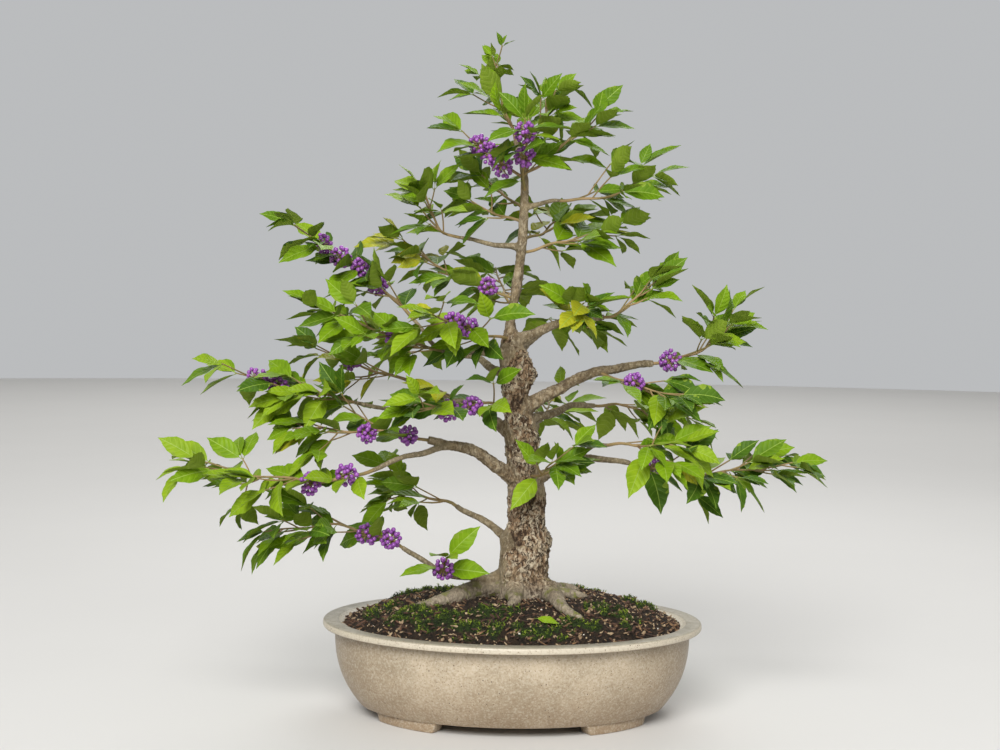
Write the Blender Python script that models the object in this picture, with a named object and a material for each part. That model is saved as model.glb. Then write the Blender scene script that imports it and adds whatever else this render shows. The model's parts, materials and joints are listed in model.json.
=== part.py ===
"""Beautyberry bonsai: an upright little tree with purple fruit, in an oval glazed pot.

Sizes are in millimetres and are turned to metres when a mesh is made. The tree is laid out round the
pot's centre, with X to the viewer's right, Y away from the viewer and Z up from the floor. The last step
moves everything so that the middle of the whole tree's underside is the origin.

The trunk carries boughs, and trunk and boughs carry masses of foliage. A mass grows by one rule: a stem
bends out to its furthest leaf, side shoots leave it in turn, and stem and shoots end in pairs of leaves.
Every piece of growth is remembered as a closed shape, and what would touch another is tried at other
angles and then skipped.
"""

import math
import random

import bpy
import numpy as np
from mathutils import Vector
from mathutils.bvhtree import BVHTree

MM = 0.001
GAP = 0.3

# A cutter with flat sides is this much fatter than the limb, to leave the gap at its flats.
CUT_GAP = 0.4

# Pot: an oval bowl on four feet, measured across its rim.
POT_WIDTH = 330.0
POT_DEPTH = 257.0
POT_HEIGHT = 82.0
POT_SIDES = 36
FOOT_HEIGHT = 9.0
FOOT_WIDTH = 15.0
FOOT_INSET = 38.0
FOOT_FRONT_INSET = 32.0
FOOT_START = 24.0
FOOT_END = 61.0
FOOT_TAPER = 2.5
FOOT_STEPS = 6
FOOT_SINK = 3.0
RIM_HEIGHT = 6.6
RIM_TOP = 13.0
RIM_OVERHANG = 10.5
RIM_EDGE = 2.2
RIM_SLOPE = 1.6
RIM_TO_WALL = 2.0
UNDER_BEVEL = 8.0
BELLY_TUCK = 22.0
BELLY_POWER = 2.6
BELLY_SHARES = (0.0, 0.06, 0.15, 0.3, 0.5, 0.75, 1.0)
INNER_HEIGHTS = (48.0,)
WALL = 8.0
FLOOR = 9.0

# Soil: a mound that rises from just under the rim to a level place round the trunk's foot.
SOIL_EDGE = 79.0
SOIL_TOP = 103.0
SOIL_LEVEL = 27.0
SOIL_POWER = 2.6
SOIL_RINGS = 3
SOIL_HALVINGS = 24
GROUND_DEPTH = 30.0

# Trunk: height, sideways, depth and radius of its centre line, from the soil to the tip.
TRUNK = (
    (99, 9, 0, 25.6), (121, 8, 0, 21.6), (145, 10, 1, 19.6), (163, 11, 3, 15.4), (190, 12, 4, 16.4),
    (217, 7, 0, 13.2), (248, 4, -3, 13.8), (275, 0, -3, 10.2), (293, 1, -2, 12.4), (317, -3, 1, 11.6),
    (333, -5, 2, 5.6), (374, 0, 5, 4.4), (434, 5, 0, 3.8), (479, 3, -3, 2.8), (497, -3, -2, 2.2),
)
TRUNK_SIDES = 10
TRUNK_STEP = 12.5
FLUTES = 3
FLUTE_DEPTH = 0.05
FLUTE_TWIST = 23.0

# Burls: height, direction round the trunk in degrees, and how far each stands out.
BURLS = ((153, 12, 5.0), (152, 170, 4.0), (295, 5, 3.6), (294, 185, 2.6), (123, 250, 3.0), (239, 330, 2.0))
BURL_TALL = 8.0
BURL_WIDE = 0.6

# Edges that bend by more than these angles in degrees stay sharp.
POT_SHARP = 32.0
SOIL_SHARP = 50.0
LIMB_SHARP = 60.0

# Surface roots: direction in degrees, length, radius at the trunk and sideways bend.
ROOTS = (
    (200, 98, 12.5, -12), (256, 54, 10.5, -5), (306, 86, 10.0, 12), (348, 56, 8.0, -6),
    (32, 60, 8.0, -8), (84, 62, 8.5, 9), (142, 64, 8.5, -9),
)
ROOT_START = 6.0
ROOT_END = 2.2
ROOT_TAPER = 0.9
ROOT_SIDES = 6
ROOT_STEP = 18.0

# A root lies this share of its radius over the soil, and climbs the trunk's foot within a reach of it.
ROOT_RISE = 0.45
ROOT_CLIMB = 13.0
ROOT_CLIMB_REACH = 32.0

# A root bends to one side and back, in half turns of a wave.
ROOT_BENDS = 1.9
ROOT_BEND_SHARE = 0.6

# Boughs: what carries it, the height on the trunk or share along a bough, its end, the height that its
# middle stands over a straight line, and its radius at both ends.
BOUGHS = {
    "low_left": ("trunk", 119, (-95, -35, 148), -13, 4.0, 2.0),
    "low_back": ("trunk", 145, (-51, 30, 176), 0, 4.2, 2.2),
    "left_main": ("trunk", 198, (-74, -25, 239), 7, 6.5, 3.4),
    "left_fork": ("left_main", 0.8, (-118, -70, 217), 2, 2.8, 1.9),
    "left_mid": ("trunk", 240, (-96, 10, 289), 5, 5.0, 2.4),
    "left_inner": ("left_mid", 0.6, (-139, -15, 270), -6, 2.4, 1.6),
    "left_up": ("trunk", 315, (-64, -30, 316), -2, 4.0, 2.2),
    "left_shoot": ("left_up", 0.85, (-88, -12, 341), -4, 2.1, 1.6),
    "left_crown": ("trunk", 405, (-50, 0, 413), 0, 2.6, 1.6),
    "right_low": ("trunk", 198, (99, -20, 221), 12, 4.4, 2.2),
    "right_fork": ("right_low", 0.5, (78, -50, 239), 3, 2.2, 1.6),
    "right_main": ("trunk", 262, (120, 10, 306), 10, 6.0, 3.0),
    "right_up": ("trunk", 322, (75, -15, 346), 5, 4.6, 2.4),
    "right_crown": ("trunk", 440, (36, 0, 446), 1, 2.2, 1.6),
    "back_low": ("trunk", 228, (24, 82, 250), 5, 4.6, 2.4),
    "back_right": ("trunk", 249, (72, 62, 265), 6, 4.2, 2.2),
    "back_left": ("trunk", 289, (-62, 66, 311), 5, 4.2, 2.2),
    "back_mid": ("trunk", 309, (34, 74, 337), 4, 4.0, 2.2),
}
BOUGH_SIDES = 8
THIN_BOUGH = 4.5
THIN_BOUGH_SIDES = 6
BOUGH_STEP = 18.5
BOUGH_WAVE = 1.6
WAVE_LENGTH = 60.0

# Masses: what carries it, where, the point that its furthest leaf reaches, how far its shoots spread,
# how many shoots it has, and the places of its fruit as shares of its stem.
MASSES = {
    "leaves_low_left": ("low_left", 1.0, (-238, -60, 169), 52, 4, (0.12, 0.28)),
    "leaves_low_inner": ("low_left", 0.62, (-54, -72, 158), 24, 2, (0.55,)),
    "leaves_low_back": ("low_back", 1.0, (-140, 66, 183), 44, 4, ()),
    "leaves_left_main": ("left_main", 1.0, (-216, -52, 253), 50, 4, (0.16, 0.5)),
    "leaves_left_fork": ("left_fork", 1.0, (-294, -80, 225), 54, 5, (0.16, 0.38)),
    "leaves_left_mid": ("left_mid", 1.0, (-204, 30, 323), 46, 5, (0.65,)),
    "leaves_left_inner": ("left_inner", 1.0, (-268, -26, 301), 50, 5, (0.7, 0.86)),
    "leaves_left_up": ("left_up", 1.0, (-186, -50, 359), 46, 5, (0.42,)),
    "leaves_left_shoot": ("left_shoot", 1.0, (-214, -24, 440), 46, 4, (0.35, 0.52, 0.68, 0.82)),
    "leaves_left_crown": ("left_crown", 1.0, (-104, -10, 473), 38, 4, ()),
    "leaves_left_shoulder": ("trunk", 361, (-132, 28, 420), 40, 3, (0.24,)),
    "leaves_left_high": ("trunk", 427, (-70, 34, 455), 30, 3, ()),
    "leaves_right_low": ("right_low", 1.0, (266, -30, 223), 48, 5, (0.12,)),
    "leaves_right_fork": ("right_fork", 1.0, (170, -66, 245), 44, 3, ()),
    "leaves_right_main": ("right_main", 1.0, (214, 0, 352), 46, 5, (0.24,)),
    "leaves_right_bend": ("right_main", 0.62, (160, -66, 274), 40, 4, (0.55,)),
    "leaves_right_up": ("right_up", 1.0, (138, -30, 395), 38, 3, ()),
    "leaves_right_inner": ("right_up", 0.6, (66, -66, 371), 32, 3, ()),
    "leaves_right_crown": ("right_crown", 1.0, (144, -10, 475), 38, 3, ()),
    "leaves_right_shoulder": ("trunk", 401, (118, 24, 435), 38, 3, ()),
    "leaves_apex_right": ("trunk", 469, (92, 0, 536), 34, 4, ()),
    "leaves_apex_left": ("trunk", 465, (-74, -8, 520), 34, 4, (0.34, 0.6, 0.82)),
    "leaves_apex_front": ("trunk", 453, (4, -66, 533), 30, 3, (0.55, 0.97)),
    "leaves_apex_side": ("trunk", 486, (46, 8, 566), 28, 3, ()),
    "leaves_leader": ("trunk", 1.0, (-32, 0, 597), 26, 4, ()),
    "leaves_front_low": ("trunk", 203, (40, -84, 233), 34, 3, ()),
    "leaves_front_mid": ("trunk", 325, (-88, -104, 352), 38, 4, (0.6, 0.78)),
    "leaves_front_left": ("trunk", 271, (-106, -98, 268), 38, 4, (0.5, 0.72)),
    "leaves_back_low": ("back_low", 1.0, (38, 196, 265), 48, 3, ()),
    "leaves_back_right": ("back_right", 1.0, (176, 116, 265), 46, 3, ()),
    "leaves_back_left": ("back_left", 1.0, (-150, 140, 325), 48, 3, ()),
    "leaves_back_mid": ("back_mid", 1.0, (84, 170, 353), 46, 3, ()),
    "leaves_back_heart": ("trunk", 353, (-24, 132, 399), 42, 3, ()),
    "leaves_back_crown": ("trunk", 411, (62, 96, 447), 36, 3, ()),
    "leaves_back_high": ("trunk", 439, (-50, 82, 487), 34, 3, ()),
    "leaves_apex_back": ("trunk", 475, (24, 58, 525), 28, 3, ()),
}

# Growth: leaves, shoots and fruit.
LEAF_LENGTH = 46.0
LEAF_WIDTH = 0.47
LEAF_THICK = 1.5
LEAF_EDGE = ((0.34, 0.84), (0.67, 0.8))
LEAF_SAG = 0.12
LEAF_SIZES = (0.84, 1.12)
SIDE_LEAF_SIZE = 0.92
LEAF_SKIP = 6.0
LEAF_TRIES = 4
TIP = 2.5

# A leaf leaves its twig at an angle, give or take, swung round the twig, and then droops. Its face looks
# up, outward from the trunk by a share, and a little aside.
LEAF_ANGLE = 54.0
END_LEAF_ANGLE = 35.0
LEAF_ANGLE_SPREAD = 10.0
LEAF_SWING = 30.0
LEAF_DROOP = (-0.3, 0.8)
LEAF_OUTWARD = (0.1, 1.1)
LEAF_ROLL = 0.7

# A stem ends this share of a leaf short of the mass's reach. It bends by a share of its length, and
# where it leaves the side of a limb it keeps a share of the limb's slant.
STEM_RADIUS = 1.6
STEM_STEP = 26.0
STEM_SHORT = 0.8
STEM_BEND = 0.45
STEM_SLANT = 0.3
STEM_WAVE = 2.0
FIRST_NODE = 9.0

# A shoot leaves its stem within a range of angles, less so further out, and swings round it. Its length is
# a share of the spread, more at the middle of the stem, less half a leaf. It bends on and up.
TWIG_RADIUS = 1.0
TWIG_END = 0.7
SHOOT_STEP = 60.0
SHOOT_SKIP = 6.0
SHOOT_TRIES = 4
SHOOT_ANGLES = (42.0, 60.0)
SHOOT_CLOSING = 14.0
SHOOT_SWING = (-24.0, 48.0)
SHOOT_SHARE = 0.62
SHOOT_MIDDLE = 0.5
SHOOT_PEAK = 0.15
SHOOT_SIZES = (0.85, 1.12)
SHOOT_LEAST = 10.0
SHOOT_ONWARD = 0.25
SHOOT_UP = 0.12

# A cluster of fruit hangs a little in front of its stem.
FRUIT_RADIUS = 10.8
FRUIT_SIZES = (0.92, 1.06)
FRUIT_ASIDE = 2.0
FRUIT_FORWARD = (-4.0, -1.0)

# Room kept round all growth, and the shortest edge that a good union leaves. Where it leaves a shorter
# one, leaves are sunk otherwise into twigs that are a little thicker or thinner.
CLEAR = 0.6
SLIVER = 0.01
LEAF_SINKS = (0.5, 0.65, 0.8, 0.35, 0.95, 0.25)
TWIG_FULL = 1.1
TWIG_THINNING = 0.2

COLOURS = {
    "ceramic": ((0.61, 0.52, 0.40), 0.35),
    "soil": ((0.075, 0.06, 0.03), 0.95),
    "bark": ((0.26, 0.20, 0.13), 0.85),
    "leaf": ((0.13, 0.22, 0.025), 0.45),
    "fruit": ((0.20, 0.06, 0.23), 0.25),
}


def clear_scene():
    for obj in list(bpy.data.objects):
        bpy.data.objects.remove(obj, do_unlink=True)


def material(name):
    """The Principled material of one kind of surface."""
    found = bpy.data.materials.get(name)
    if found:
        return found
    colour, roughness = COLOURS[name]
    made = bpy.data.materials.new(name)
    made.use_nodes = True
    shader = made.node_tree.nodes["Principled BSDF"]
    shader.inputs["Base Color"].default_value = (*colour, 1.0)
    shader.inputs["Roughness"].default_value = roughness
    shader.inputs["Metallic"].default_value = 0.0
    return made


def add_mesh(name, points, faces, look, collection=None):
    """An object from points in millimetres."""
    mesh = bpy.data.meshes.new(name)
    mesh.from_pydata([tuple(float(c) * MM for c in point) for point in points], [], faces)
    mesh.materials.append(material(look))
    mesh.validate()
    obj = bpy.data.objects.new(name, mesh)
    (collection or bpy.context.scene.collection).objects.link(obj)
    return obj


def apply_modifiers(obj):
    """Replaces an object's mesh by what its modifiers make of it."""
    depsgraph = bpy.context.evaluated_depsgraph_get()
    mesh = bpy.data.meshes.new_from_object(obj.evaluated_get(depsgraph))
    obj.modifiers.clear()
    obj.data = mesh


def combine(obj, other, operation):
    """A Boolean of two objects; the second is used up."""
    modifier = obj.modifiers.new("combine", "BOOLEAN")
    modifier.operation = operation
    modifier.object = other
    modifier.solver = "MANIFOLD"
    apply_modifiers(obj)
    bpy.data.objects.remove(other, do_unlink=True)


def join_all(obj, collection):
    """One union of an object with all those in a collection, which are used up."""
    modifier = obj.modifiers.new("join", "BOOLEAN")
    modifier.operation = "UNION"
    modifier.operand_type = "COLLECTION"
    modifier.collection = collection
    modifier.solver = "MANIFOLD"
    modifier.material_mode = "TRANSFER"
    apply_modifiers(obj)
    for used in list(collection.objects):
        bpy.data.objects.remove(used, do_unlink=True)
    bpy.data.collections.remove(collection)


def smooth(obj, angle):
    obj.data.shade_smooth()
    obj.data.set_sharp_from_angle(angle=math.radians(angle))


def vec(*numbers):
    return np.array(numbers, dtype=float)


def unit(v):
    return v / max(float(np.linalg.norm(v)), 1e-9)


def turned(v, axis, degrees):
    """A vector turned about an axis."""
    angle = math.radians(degrees)
    axis = unit(axis)
    across = np.cross(axis, v)
    return v * math.cos(angle) + across * math.sin(angle) + axis * float(axis @ v) * (1 - math.cos(angle))


def polar(degrees):
    angle = math.radians(degrees)
    return vec(math.cos(angle), math.sin(angle), 0)


def along(path, share):
    """The point and heading at a share of a path's length."""
    steps = np.linalg.norm(np.diff(path, axis=0), axis=1)
    marks = np.concatenate([[0.0], np.cumsum(steps)])
    place = share * marks[-1]
    index = min(int(np.searchsorted(marks, place, side="right")) - 1, len(steps) - 1)
    part = (place - marks[index]) / steps[index]
    return path[index] + (path[index + 1] - path[index]) * part, unit(path[index + 1] - path[index])


def length_of(path):
    return float(np.linalg.norm(np.diff(path, axis=0), axis=1).sum())


def bent(start, bend, end, step):
    """A smooth curve from start to end that is drawn towards bend."""
    span = np.linalg.norm(bend - start) + np.linalg.norm(end - bend)
    count = max(1, round(span / step))
    shares = np.linspace(0, 1, count + 1)[:, None]
    return (1 - shares) ** 2 * start + 2 * shares * (1 - shares) * bend + shares**2 * end


def waved(path, name, size):
    """A path with gentle bends of its own, still at both ends."""
    draw = random.Random(name)
    phases = [draw.uniform(0, math.tau) for _ in range(3)]
    shares = np.linspace(0, 1, len(path))
    envelope = np.sin(np.pi * shares) * size
    turns = length_of(path) / WAVE_LENGTH
    waves = [envelope * np.sin(math.tau * turns * shares + phase) for phase in phases]
    return path + np.stack(waves, axis=1)


def frames(path):
    """Two vectors across the path at each of its points, carried along without twist."""
    headings = np.gradient(path, axis=0)
    headings /= np.linalg.norm(headings, axis=1)[:, None]
    side = unit(np.cross(headings[0], vec(0, 0, 1) if abs(headings[0][2]) < 0.9 else vec(0, 1, 0)))
    pairs = []
    for heading in headings:
        side = unit(side - heading * float(side @ heading))
        pairs.append((side, np.cross(heading, side)))
    return pairs


def tube(path, radii, sides, shape=None):
    """Points and faces of a closed tube with a corner underneath. shape(index, angle) scales its radius."""
    points = []
    for index, (centre, (side, down)) in enumerate(zip(path, frames(path))):
        for corner in range(sides):
            angle = math.pi / 2 + math.tau * corner / sides
            radius = radii[index] * (shape(index, angle) if shape else 1.0)
            points.append(centre + radius * (math.cos(angle) * side + math.sin(angle) * down))
    faces = skin(len(path), sides)
    return points, faces if outward(points, faces) else [face[::-1] for face in faces]


def skin(rings, sides):
    """Faces over rings of points of one size, with both ends closed."""
    faces = [tuple(range(sides))[::-1]]
    for ring in range(rings - 1):
        low, high = ring * sides, (ring + 1) * sides
        for corner in range(sides):
            after = (corner + 1) % sides
            faces.append((low + corner, low + after, high + after, high + corner))
    faces.append(tuple((rings - 1) * sides + corner for corner in range(sides)))
    return faces


def outward(points, faces):
    """Whether the faces of a closed shape point away from its inside."""
    volume = 0.0
    for face in faces:
        for second, third in zip(face[1:-1], face[2:]):
            volume += float(np.dot(points[face[0]], np.cross(points[second], points[third])))
    return volume > 0


def oval(inset, height):
    """A ring of points on the pot's oval, drawn in from the rim's outer edge."""
    across = POT_WIDTH / 2 - inset
    deep = POT_DEPTH / 2 - inset
    angles = [math.tau * corner / POT_SIDES for corner in range(POT_SIDES)]
    return [(across * math.cos(a), deep * math.sin(a), height) for a in angles]


def stacked(rings):
    """Points and faces of a closed shape skinned over rings of one size, from its underside up."""
    return [vec(*point) for ring in rings for point in ring], skin(len(rings), len(rings[0]))


def belly_inset(height):
    """How far the bowl's outer wall stands in from the rim at a height."""
    top = POT_HEIGHT - RIM_HEIGHT
    share = min(max((height - FOOT_HEIGHT) / (top - FOOT_HEIGHT), 0.0), 1.0)
    return RIM_OVERHANG + BELLY_TUCK * (1 - share) ** BELLY_POWER


def inner_inset(height):
    """How far the bowl's inner wall stands in from the rim at a height."""
    return max(belly_inset(height) + WALL, RIM_TOP + RIM_TO_WALL)


def build_pot():
    """The bowl with its rolled rim, and four curved feet fused under it."""
    under_rim = POT_HEIGHT - RIM_HEIGHT
    inner_floor = FOOT_HEIGHT + FLOOR
    heights = [FOOT_HEIGHT + share * (under_rim - FOOT_HEIGHT) for share in BELLY_SHARES]
    rings = [oval(belly_inset(heights[0]) + UNDER_BEVEL, FOOT_HEIGHT - UNDER_BEVEL / 8)]
    rings += [oval(belly_inset(height), height) for height in heights]
    rings += [oval(RIM_EDGE / 2, under_rim + RIM_EDGE / 5), oval(0.0, under_rim + RIM_EDGE)]
    rings += [oval(0.0, POT_HEIGHT - RIM_EDGE), oval(RIM_EDGE, POT_HEIGHT), oval(RIM_TOP, POT_HEIGHT)]
    rings += [oval(RIM_TOP + RIM_SLOPE, POT_HEIGHT - RIM_SLOPE)]
    rings += [oval(inner_inset(height), height) for height in (*INNER_HEIGHTS[::-1], inner_floor)]
    bowl = add_mesh("pot", *stacked(rings), "ceramic")
    feet = bpy.data.collections.new("feet")
    bpy.context.scene.collection.children.link(feet)
    for quarter in range(4):
        build_foot(quarter, feet)
    join_all(bowl, feet)
    smooth(bowl, POT_SHARP)
    return bowl


def build_foot(quarter, collection):
    """One foot: a slab that follows the oval, narrower at the floor."""
    start, end = (FOOT_START, FOOT_END) if quarter % 2 == 0 else (180 - FOOT_END, 180 - FOOT_START)
    if quarter >= 2:
        start, end = start + 180, end + 180
    rings = []
    for height, taper in ((0.0, FOOT_TAPER), (FOOT_HEIGHT + FOOT_SINK, 0.0)):
        across = POT_WIDTH / 2 - FOOT_INSET - taper / 2
        deep = POT_DEPTH / 2 - FOOT_FRONT_INSET - taper / 2
        width = FOOT_WIDTH - taper
        outer = []
        inner = []
        for step in range(FOOT_STEPS + 1):
            angle = math.radians(start + taper + (end - start - 2 * taper) * step / FOOT_STEPS)
            outer.append((across * math.cos(angle), deep * math.sin(angle), height))
            inner.append(((across - width) * math.cos(angle), (deep - width) * math.sin(angle), height))
        rings.append(outer + inner[::-1])
    return add_mesh("foot", *stacked(rings), "ceramic", collection)


def mound_rings(lift=0.0):
    """Rings of the soil's top, from the pot's wall in to the level place round the trunk."""
    edge_inset = inner_inset(SOIL_EDGE) + GAP
    foot = TRUNK[0]
    rings = []
    for ring in range(SOIL_RINGS + 1):
        share = 1 - ring / SOIL_RINGS
        height = SOIL_EDGE + (SOIL_TOP - SOIL_EDGE) * (1 - share**SOIL_POWER)
        across = SOIL_LEVEL + (POT_WIDTH / 2 - edge_inset - SOIL_LEVEL) * share
        deep = SOIL_LEVEL + (POT_DEPTH / 2 - edge_inset - SOIL_LEVEL) * share
        shift = (1 - share) * foot[1]
        angles = [math.tau * corner / POT_SIDES for corner in range(POT_SIDES)]
        rings.append([(shift + across * math.cos(a), deep * math.sin(a), height + lift) for a in angles])
    return rings


def soil_height(x, y):
    """The height of the mound at a place, worked out as its rings are."""
    edge_inset = inner_inset(SOIL_EDGE) + GAP
    low, high = 0.0, 1.0
    for _ in range(SOIL_HALVINGS):
        share = (low + high) / 2
        across = SOIL_LEVEL + (POT_WIDTH / 2 - edge_inset - SOIL_LEVEL) * share
        deep = SOIL_LEVEL + (POT_DEPTH / 2 - edge_inset - SOIL_LEVEL) * share
        shift = (1 - share) * TRUNK[0][1]
        inside = ((x - shift) / across) ** 2 + (y / deep) ** 2 < 1
        low, high = (low, share) if inside else (share, high)
    return SOIL_EDGE + (SOIL_TOP - SOIL_EDGE) * (1 - high**SOIL_POWER)


def build_soil():
    """The soil that fills the pot, clear of its wall, with its mound."""
    floor = FOOT_HEIGHT + FLOOR + GAP
    walls = [oval(inner_inset(height) + GAP, height) for height in (floor, *INNER_HEIGHTS)]
    soil = add_mesh("soil", *stacked(walls + mound_rings()), "soil")
    smooth(soil, SOIL_SHARP)
    return soil


def trunk_path(step=TRUNK_STEP):
    """The trunk's centre line and radii, smooth through its stations."""
    stations = np.array(TRUNK, dtype=float)
    count = round((stations[-1, 0] - stations[0, 0]) / step)
    heights = np.linspace(stations[0, 0], stations[-1, 0], count + 1)
    slopes = np.gradient(stations[:, 1:], stations[:, 0], axis=0)
    rows = []
    for height in heights:
        index = min(int(np.searchsorted(stations[:, 0], height, side="right")) - 1, len(stations) - 2)
        span = stations[index + 1, 0] - stations[index, 0]
        t = (height - stations[index, 0]) / span
        here, there = stations[index, 1:], stations[index + 1, 1:]
        rows.append(
            (2 * t**3 - 3 * t**2 + 1) * here + (t**3 - 2 * t**2 + t) * span * slopes[index]
            + (3 * t**2 - 2 * t**3) * there + (t**3 - t**2) * span * slopes[index + 1]
        )
    rows = np.array(rows)
    return np.column_stack([rows[:, 0], rows[:, 1], heights]), rows[:, 2]


def trunk_shape(path, radii):
    """How far the trunk's side stands out at a ring and an angle: shallow flutes and burls."""
    def shape(index, angle):
        height = path[index][2]
        size = 1 + FLUTE_DEPTH * math.sin(FLUTES * angle + height / FLUTE_TWIST)
        for burl_height, degrees, stand in BURLS:
            # On an upright tube the angle starts at -X, half a turn from where the degrees start.
            turn = (angle - math.radians(degrees)) % math.tau - math.pi
            fall = math.exp(-((height - burl_height) / BURL_TALL) ** 2 - (turn / BURL_WIDE) ** 2)
            size += stand / radii[index] * fall
        return size
    return shape


def root_path(degrees, length, radius, bend):
    """A surface root's centre line and radii, lying on the mound."""
    out = polar(degrees)
    across = vec(-out[1], out[0], 0)
    count = max(4, round(length / ROOT_STEP))
    path = []
    radii = []
    for index in range(count + 1):
        share = index / count
        place = vec(TRUNK[0][1], TRUNK[0][2], 0) + out * (ROOT_START + (length - ROOT_START) * share)
        place = place + across * bend * math.sin(ROOT_BENDS * math.pi * share) * ROOT_BEND_SHARE
        thick = ROOT_END + (radius - ROOT_END) * (1 - share) ** ROOT_TAPER
        climb = ROOT_CLIMB * max(0.0, 1 - share * length / ROOT_CLIMB_REACH) ** 2
        place[2] = soil_height(place[0], place[1]) + ROOT_RISE * thick + climb
        path.append(place)
        radii.append(thick)
    return np.array(path), radii


def trunk_tubes(grow=0.0):
    """The trunk's stem and its surface roots as separate closed tubes, each fattened by grow."""
    path, radii = trunk_path()
    shape = trunk_shape(path, radii)
    stem = add_mesh("trunk", *tube(path, radii + grow, TRUNK_SIDES, shape), "bark")
    roots = []
    for number, row in enumerate(ROOTS):
        line, thick = root_path(*row)
        shape_of_root = tube(line, [radius + grow for radius in thick], ROOT_SIDES)
        roots.append(add_mesh(f"root_{number}", *shape_of_root, "bark"))
    return stem, roots


def build_trunk():
    """Trunk and surface roots in one piece, cut off along the soil's surface."""
    stem, roots = trunk_tubes()
    for root in roots:
        combine(stem, root, "UNION")
    rings = [oval(inner_inset(SOIL_EDGE) + GAP, SOIL_EDGE - GROUND_DEPTH)] + mound_rings(GAP)
    combine(stem, add_mesh("ground", *stacked(rings), "soil"), "DIFFERENCE")
    smooth(stem, LIMB_SHARP)
    return stem


def limb_lines():
    """The centre line and radii of the trunk and of every bough, by name."""
    path, radii = trunk_path()
    lines = {"trunk": (path, list(radii))}
    for name, (parent, where, end, lift, thick, thin) in BOUGHS.items():
        start = place_on(lines, parent, where)[0]
        end = vec(*end)
        middle = (start + end) / 2 + vec(0, 0, 2 * lift)
        line = waved(bent(start, middle, end, BOUGH_STEP), name, BOUGH_WAVE)
        lines[name] = (line, list(np.linspace(thick, thin, len(line))))
    return lines


def place_on(lines, parent, where):
    """A point on a limb's centre line and the limb's heading there. where is a height on the trunk."""
    path = lines[parent][0]
    if where > 1.0:
        index = int(np.searchsorted(path[:, 2], where))
        low, high = path[index - 1], path[index]
        return low + (high - low) * (where - low[2]) / (high[2] - low[2]), unit(high - low)
    return along(path, where)


def bough_tube(line, grow=0.0):
    """Points and faces of a bough, fattened by grow."""
    path, radii = line
    sides = BOUGH_SIDES if radii[0] > THIN_BOUGH else THIN_BOUGH_SIDES
    return tube(path, [radius + grow for radius in radii], sides)


def radius_at(lines, parent, where):
    """A limb's radius at a height on the trunk or at a share of a bough."""
    path, radii = lines[parent]
    if where > 1.0:
        return float(np.interp(where, path[:, 2], radii))
    return float(np.interp(where * (len(path) - 1), range(len(path)), radii))


def build_boughs(lines):
    """Every bough as one tapering limb, cut back to stay clear of the limb that carries it."""
    made = {}
    for name, (parent, *_rest) in BOUGHS.items():
        bough = add_mesh(f"bough_{name}", *bough_tube(lines[name]), "bark")
        if parent == "trunk":
            stem, roots = trunk_tubes(CUT_GAP)
            cutters = [stem] + roots
        else:
            cutters = [add_mesh("cutter", *bough_tube(lines[parent], CUT_GAP), "bark")]
        for cutter in cutters:
            combine(bough, cutter, "DIFFERENCE")
        smooth(bough, LIMB_SHARP)
        made[name] = bough
    return made


class Room:
    """The closed shapes that already stand in the crown, so that new growth can keep clear of them."""

    def __init__(self):
        self.middles = []
        self.reaches = []
        self.trees = []
        self.owners = []

    def add(self, shape, owner):
        middle, reach, tree = measured(shape)
        self.middles.append(middle)
        self.reaches.append(reach)
        self.trees.append(tree)
        self.owners.append(owner)

    def free(self, shape, ignored=""):
        """Whether a shape touches nothing but what belongs to the ignored owner."""
        middle, reach, tree = measured(shape)
        apart = np.linalg.norm(np.array(self.middles) - middle, axis=1)
        near = np.nonzero(apart < np.array(self.reaches) + reach)[0]
        return not any(self.owners[i] != ignored and tree.overlap(self.trees[i]) for i in near)


def measured(shape):
    """A shape's middle, its reach from there, and its tree of faces."""
    points, faces = shape
    points = np.array(points)
    middle = (points.min(axis=0) + points.max(axis=0)) / 2
    reach = float(np.linalg.norm(points - middle, axis=1).max())
    return middle, reach, BVHTree.FromPolygons(points.tolist(), faces)


def fat_twig(line, radii, skip=0.0):
    """A twig with room round it, from a distance past its start."""
    line, radii = shortened(line, radii, skip)
    return tube(line, [radius + CLEAR for radius in radii], 3)


def leaf_shape(leaf, grow=0.0, skip=-LEAF_SINKS[0]):
    """A leaf of eight faces: six corners round its edge, a keel from foot to tip and an arch along it.

    grow gives it room on all sides. Its foot starts skip past the twig's middle."""
    base, heading, face, length = leaf
    side = unit(np.cross(face, heading))
    face = unit(np.cross(heading, side))
    width = LEAF_WIDTH * length / 2 + grow
    tip = base + heading * (length + grow) - face * (LEAF_SAG * length + grow)
    foot = base + heading * skip - face * grow
    edges = []
    for share, wide in LEAF_EDGE:
        keel = foot + (tip - foot) * share
        edges += [keel + face * (LEAF_THICK + 2 * grow) + side * width * wide * hand for hand in (1, -1)]
    points = [foot, edges[0], edges[2], tip, edges[3], edges[1]]
    faces = ((0, 5, 1), (1, 5, 4), (1, 4, 2), (2, 4, 3), (0, 1, 3), (1, 2, 3), (0, 3, 5), (5, 3, 4))
    return points, faces if outward(points, faces) else [corners[::-1] for corners in faces]


def stem_line(lines, mass):
    """The stem of a mass: it leaves its limb along the limb's own heading, or out from its side."""
    parent, where, reach, *_rest = MASSES[mass]
    start, heading = place_on(lines, parent, where)
    reach = vec(*reach)
    straight = unit(reach - start)
    if where != 1.0:
        heading = unit(straight - heading * float(straight @ heading) * STEM_SLANT)
    end = reach - straight * LEAF_LENGTH * STEM_SHORT
    bend = start + heading * STEM_BEND * np.linalg.norm(end - start)
    return waved(bent(start, bend, end, STEM_STEP), mass, STEM_WAVE)


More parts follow.
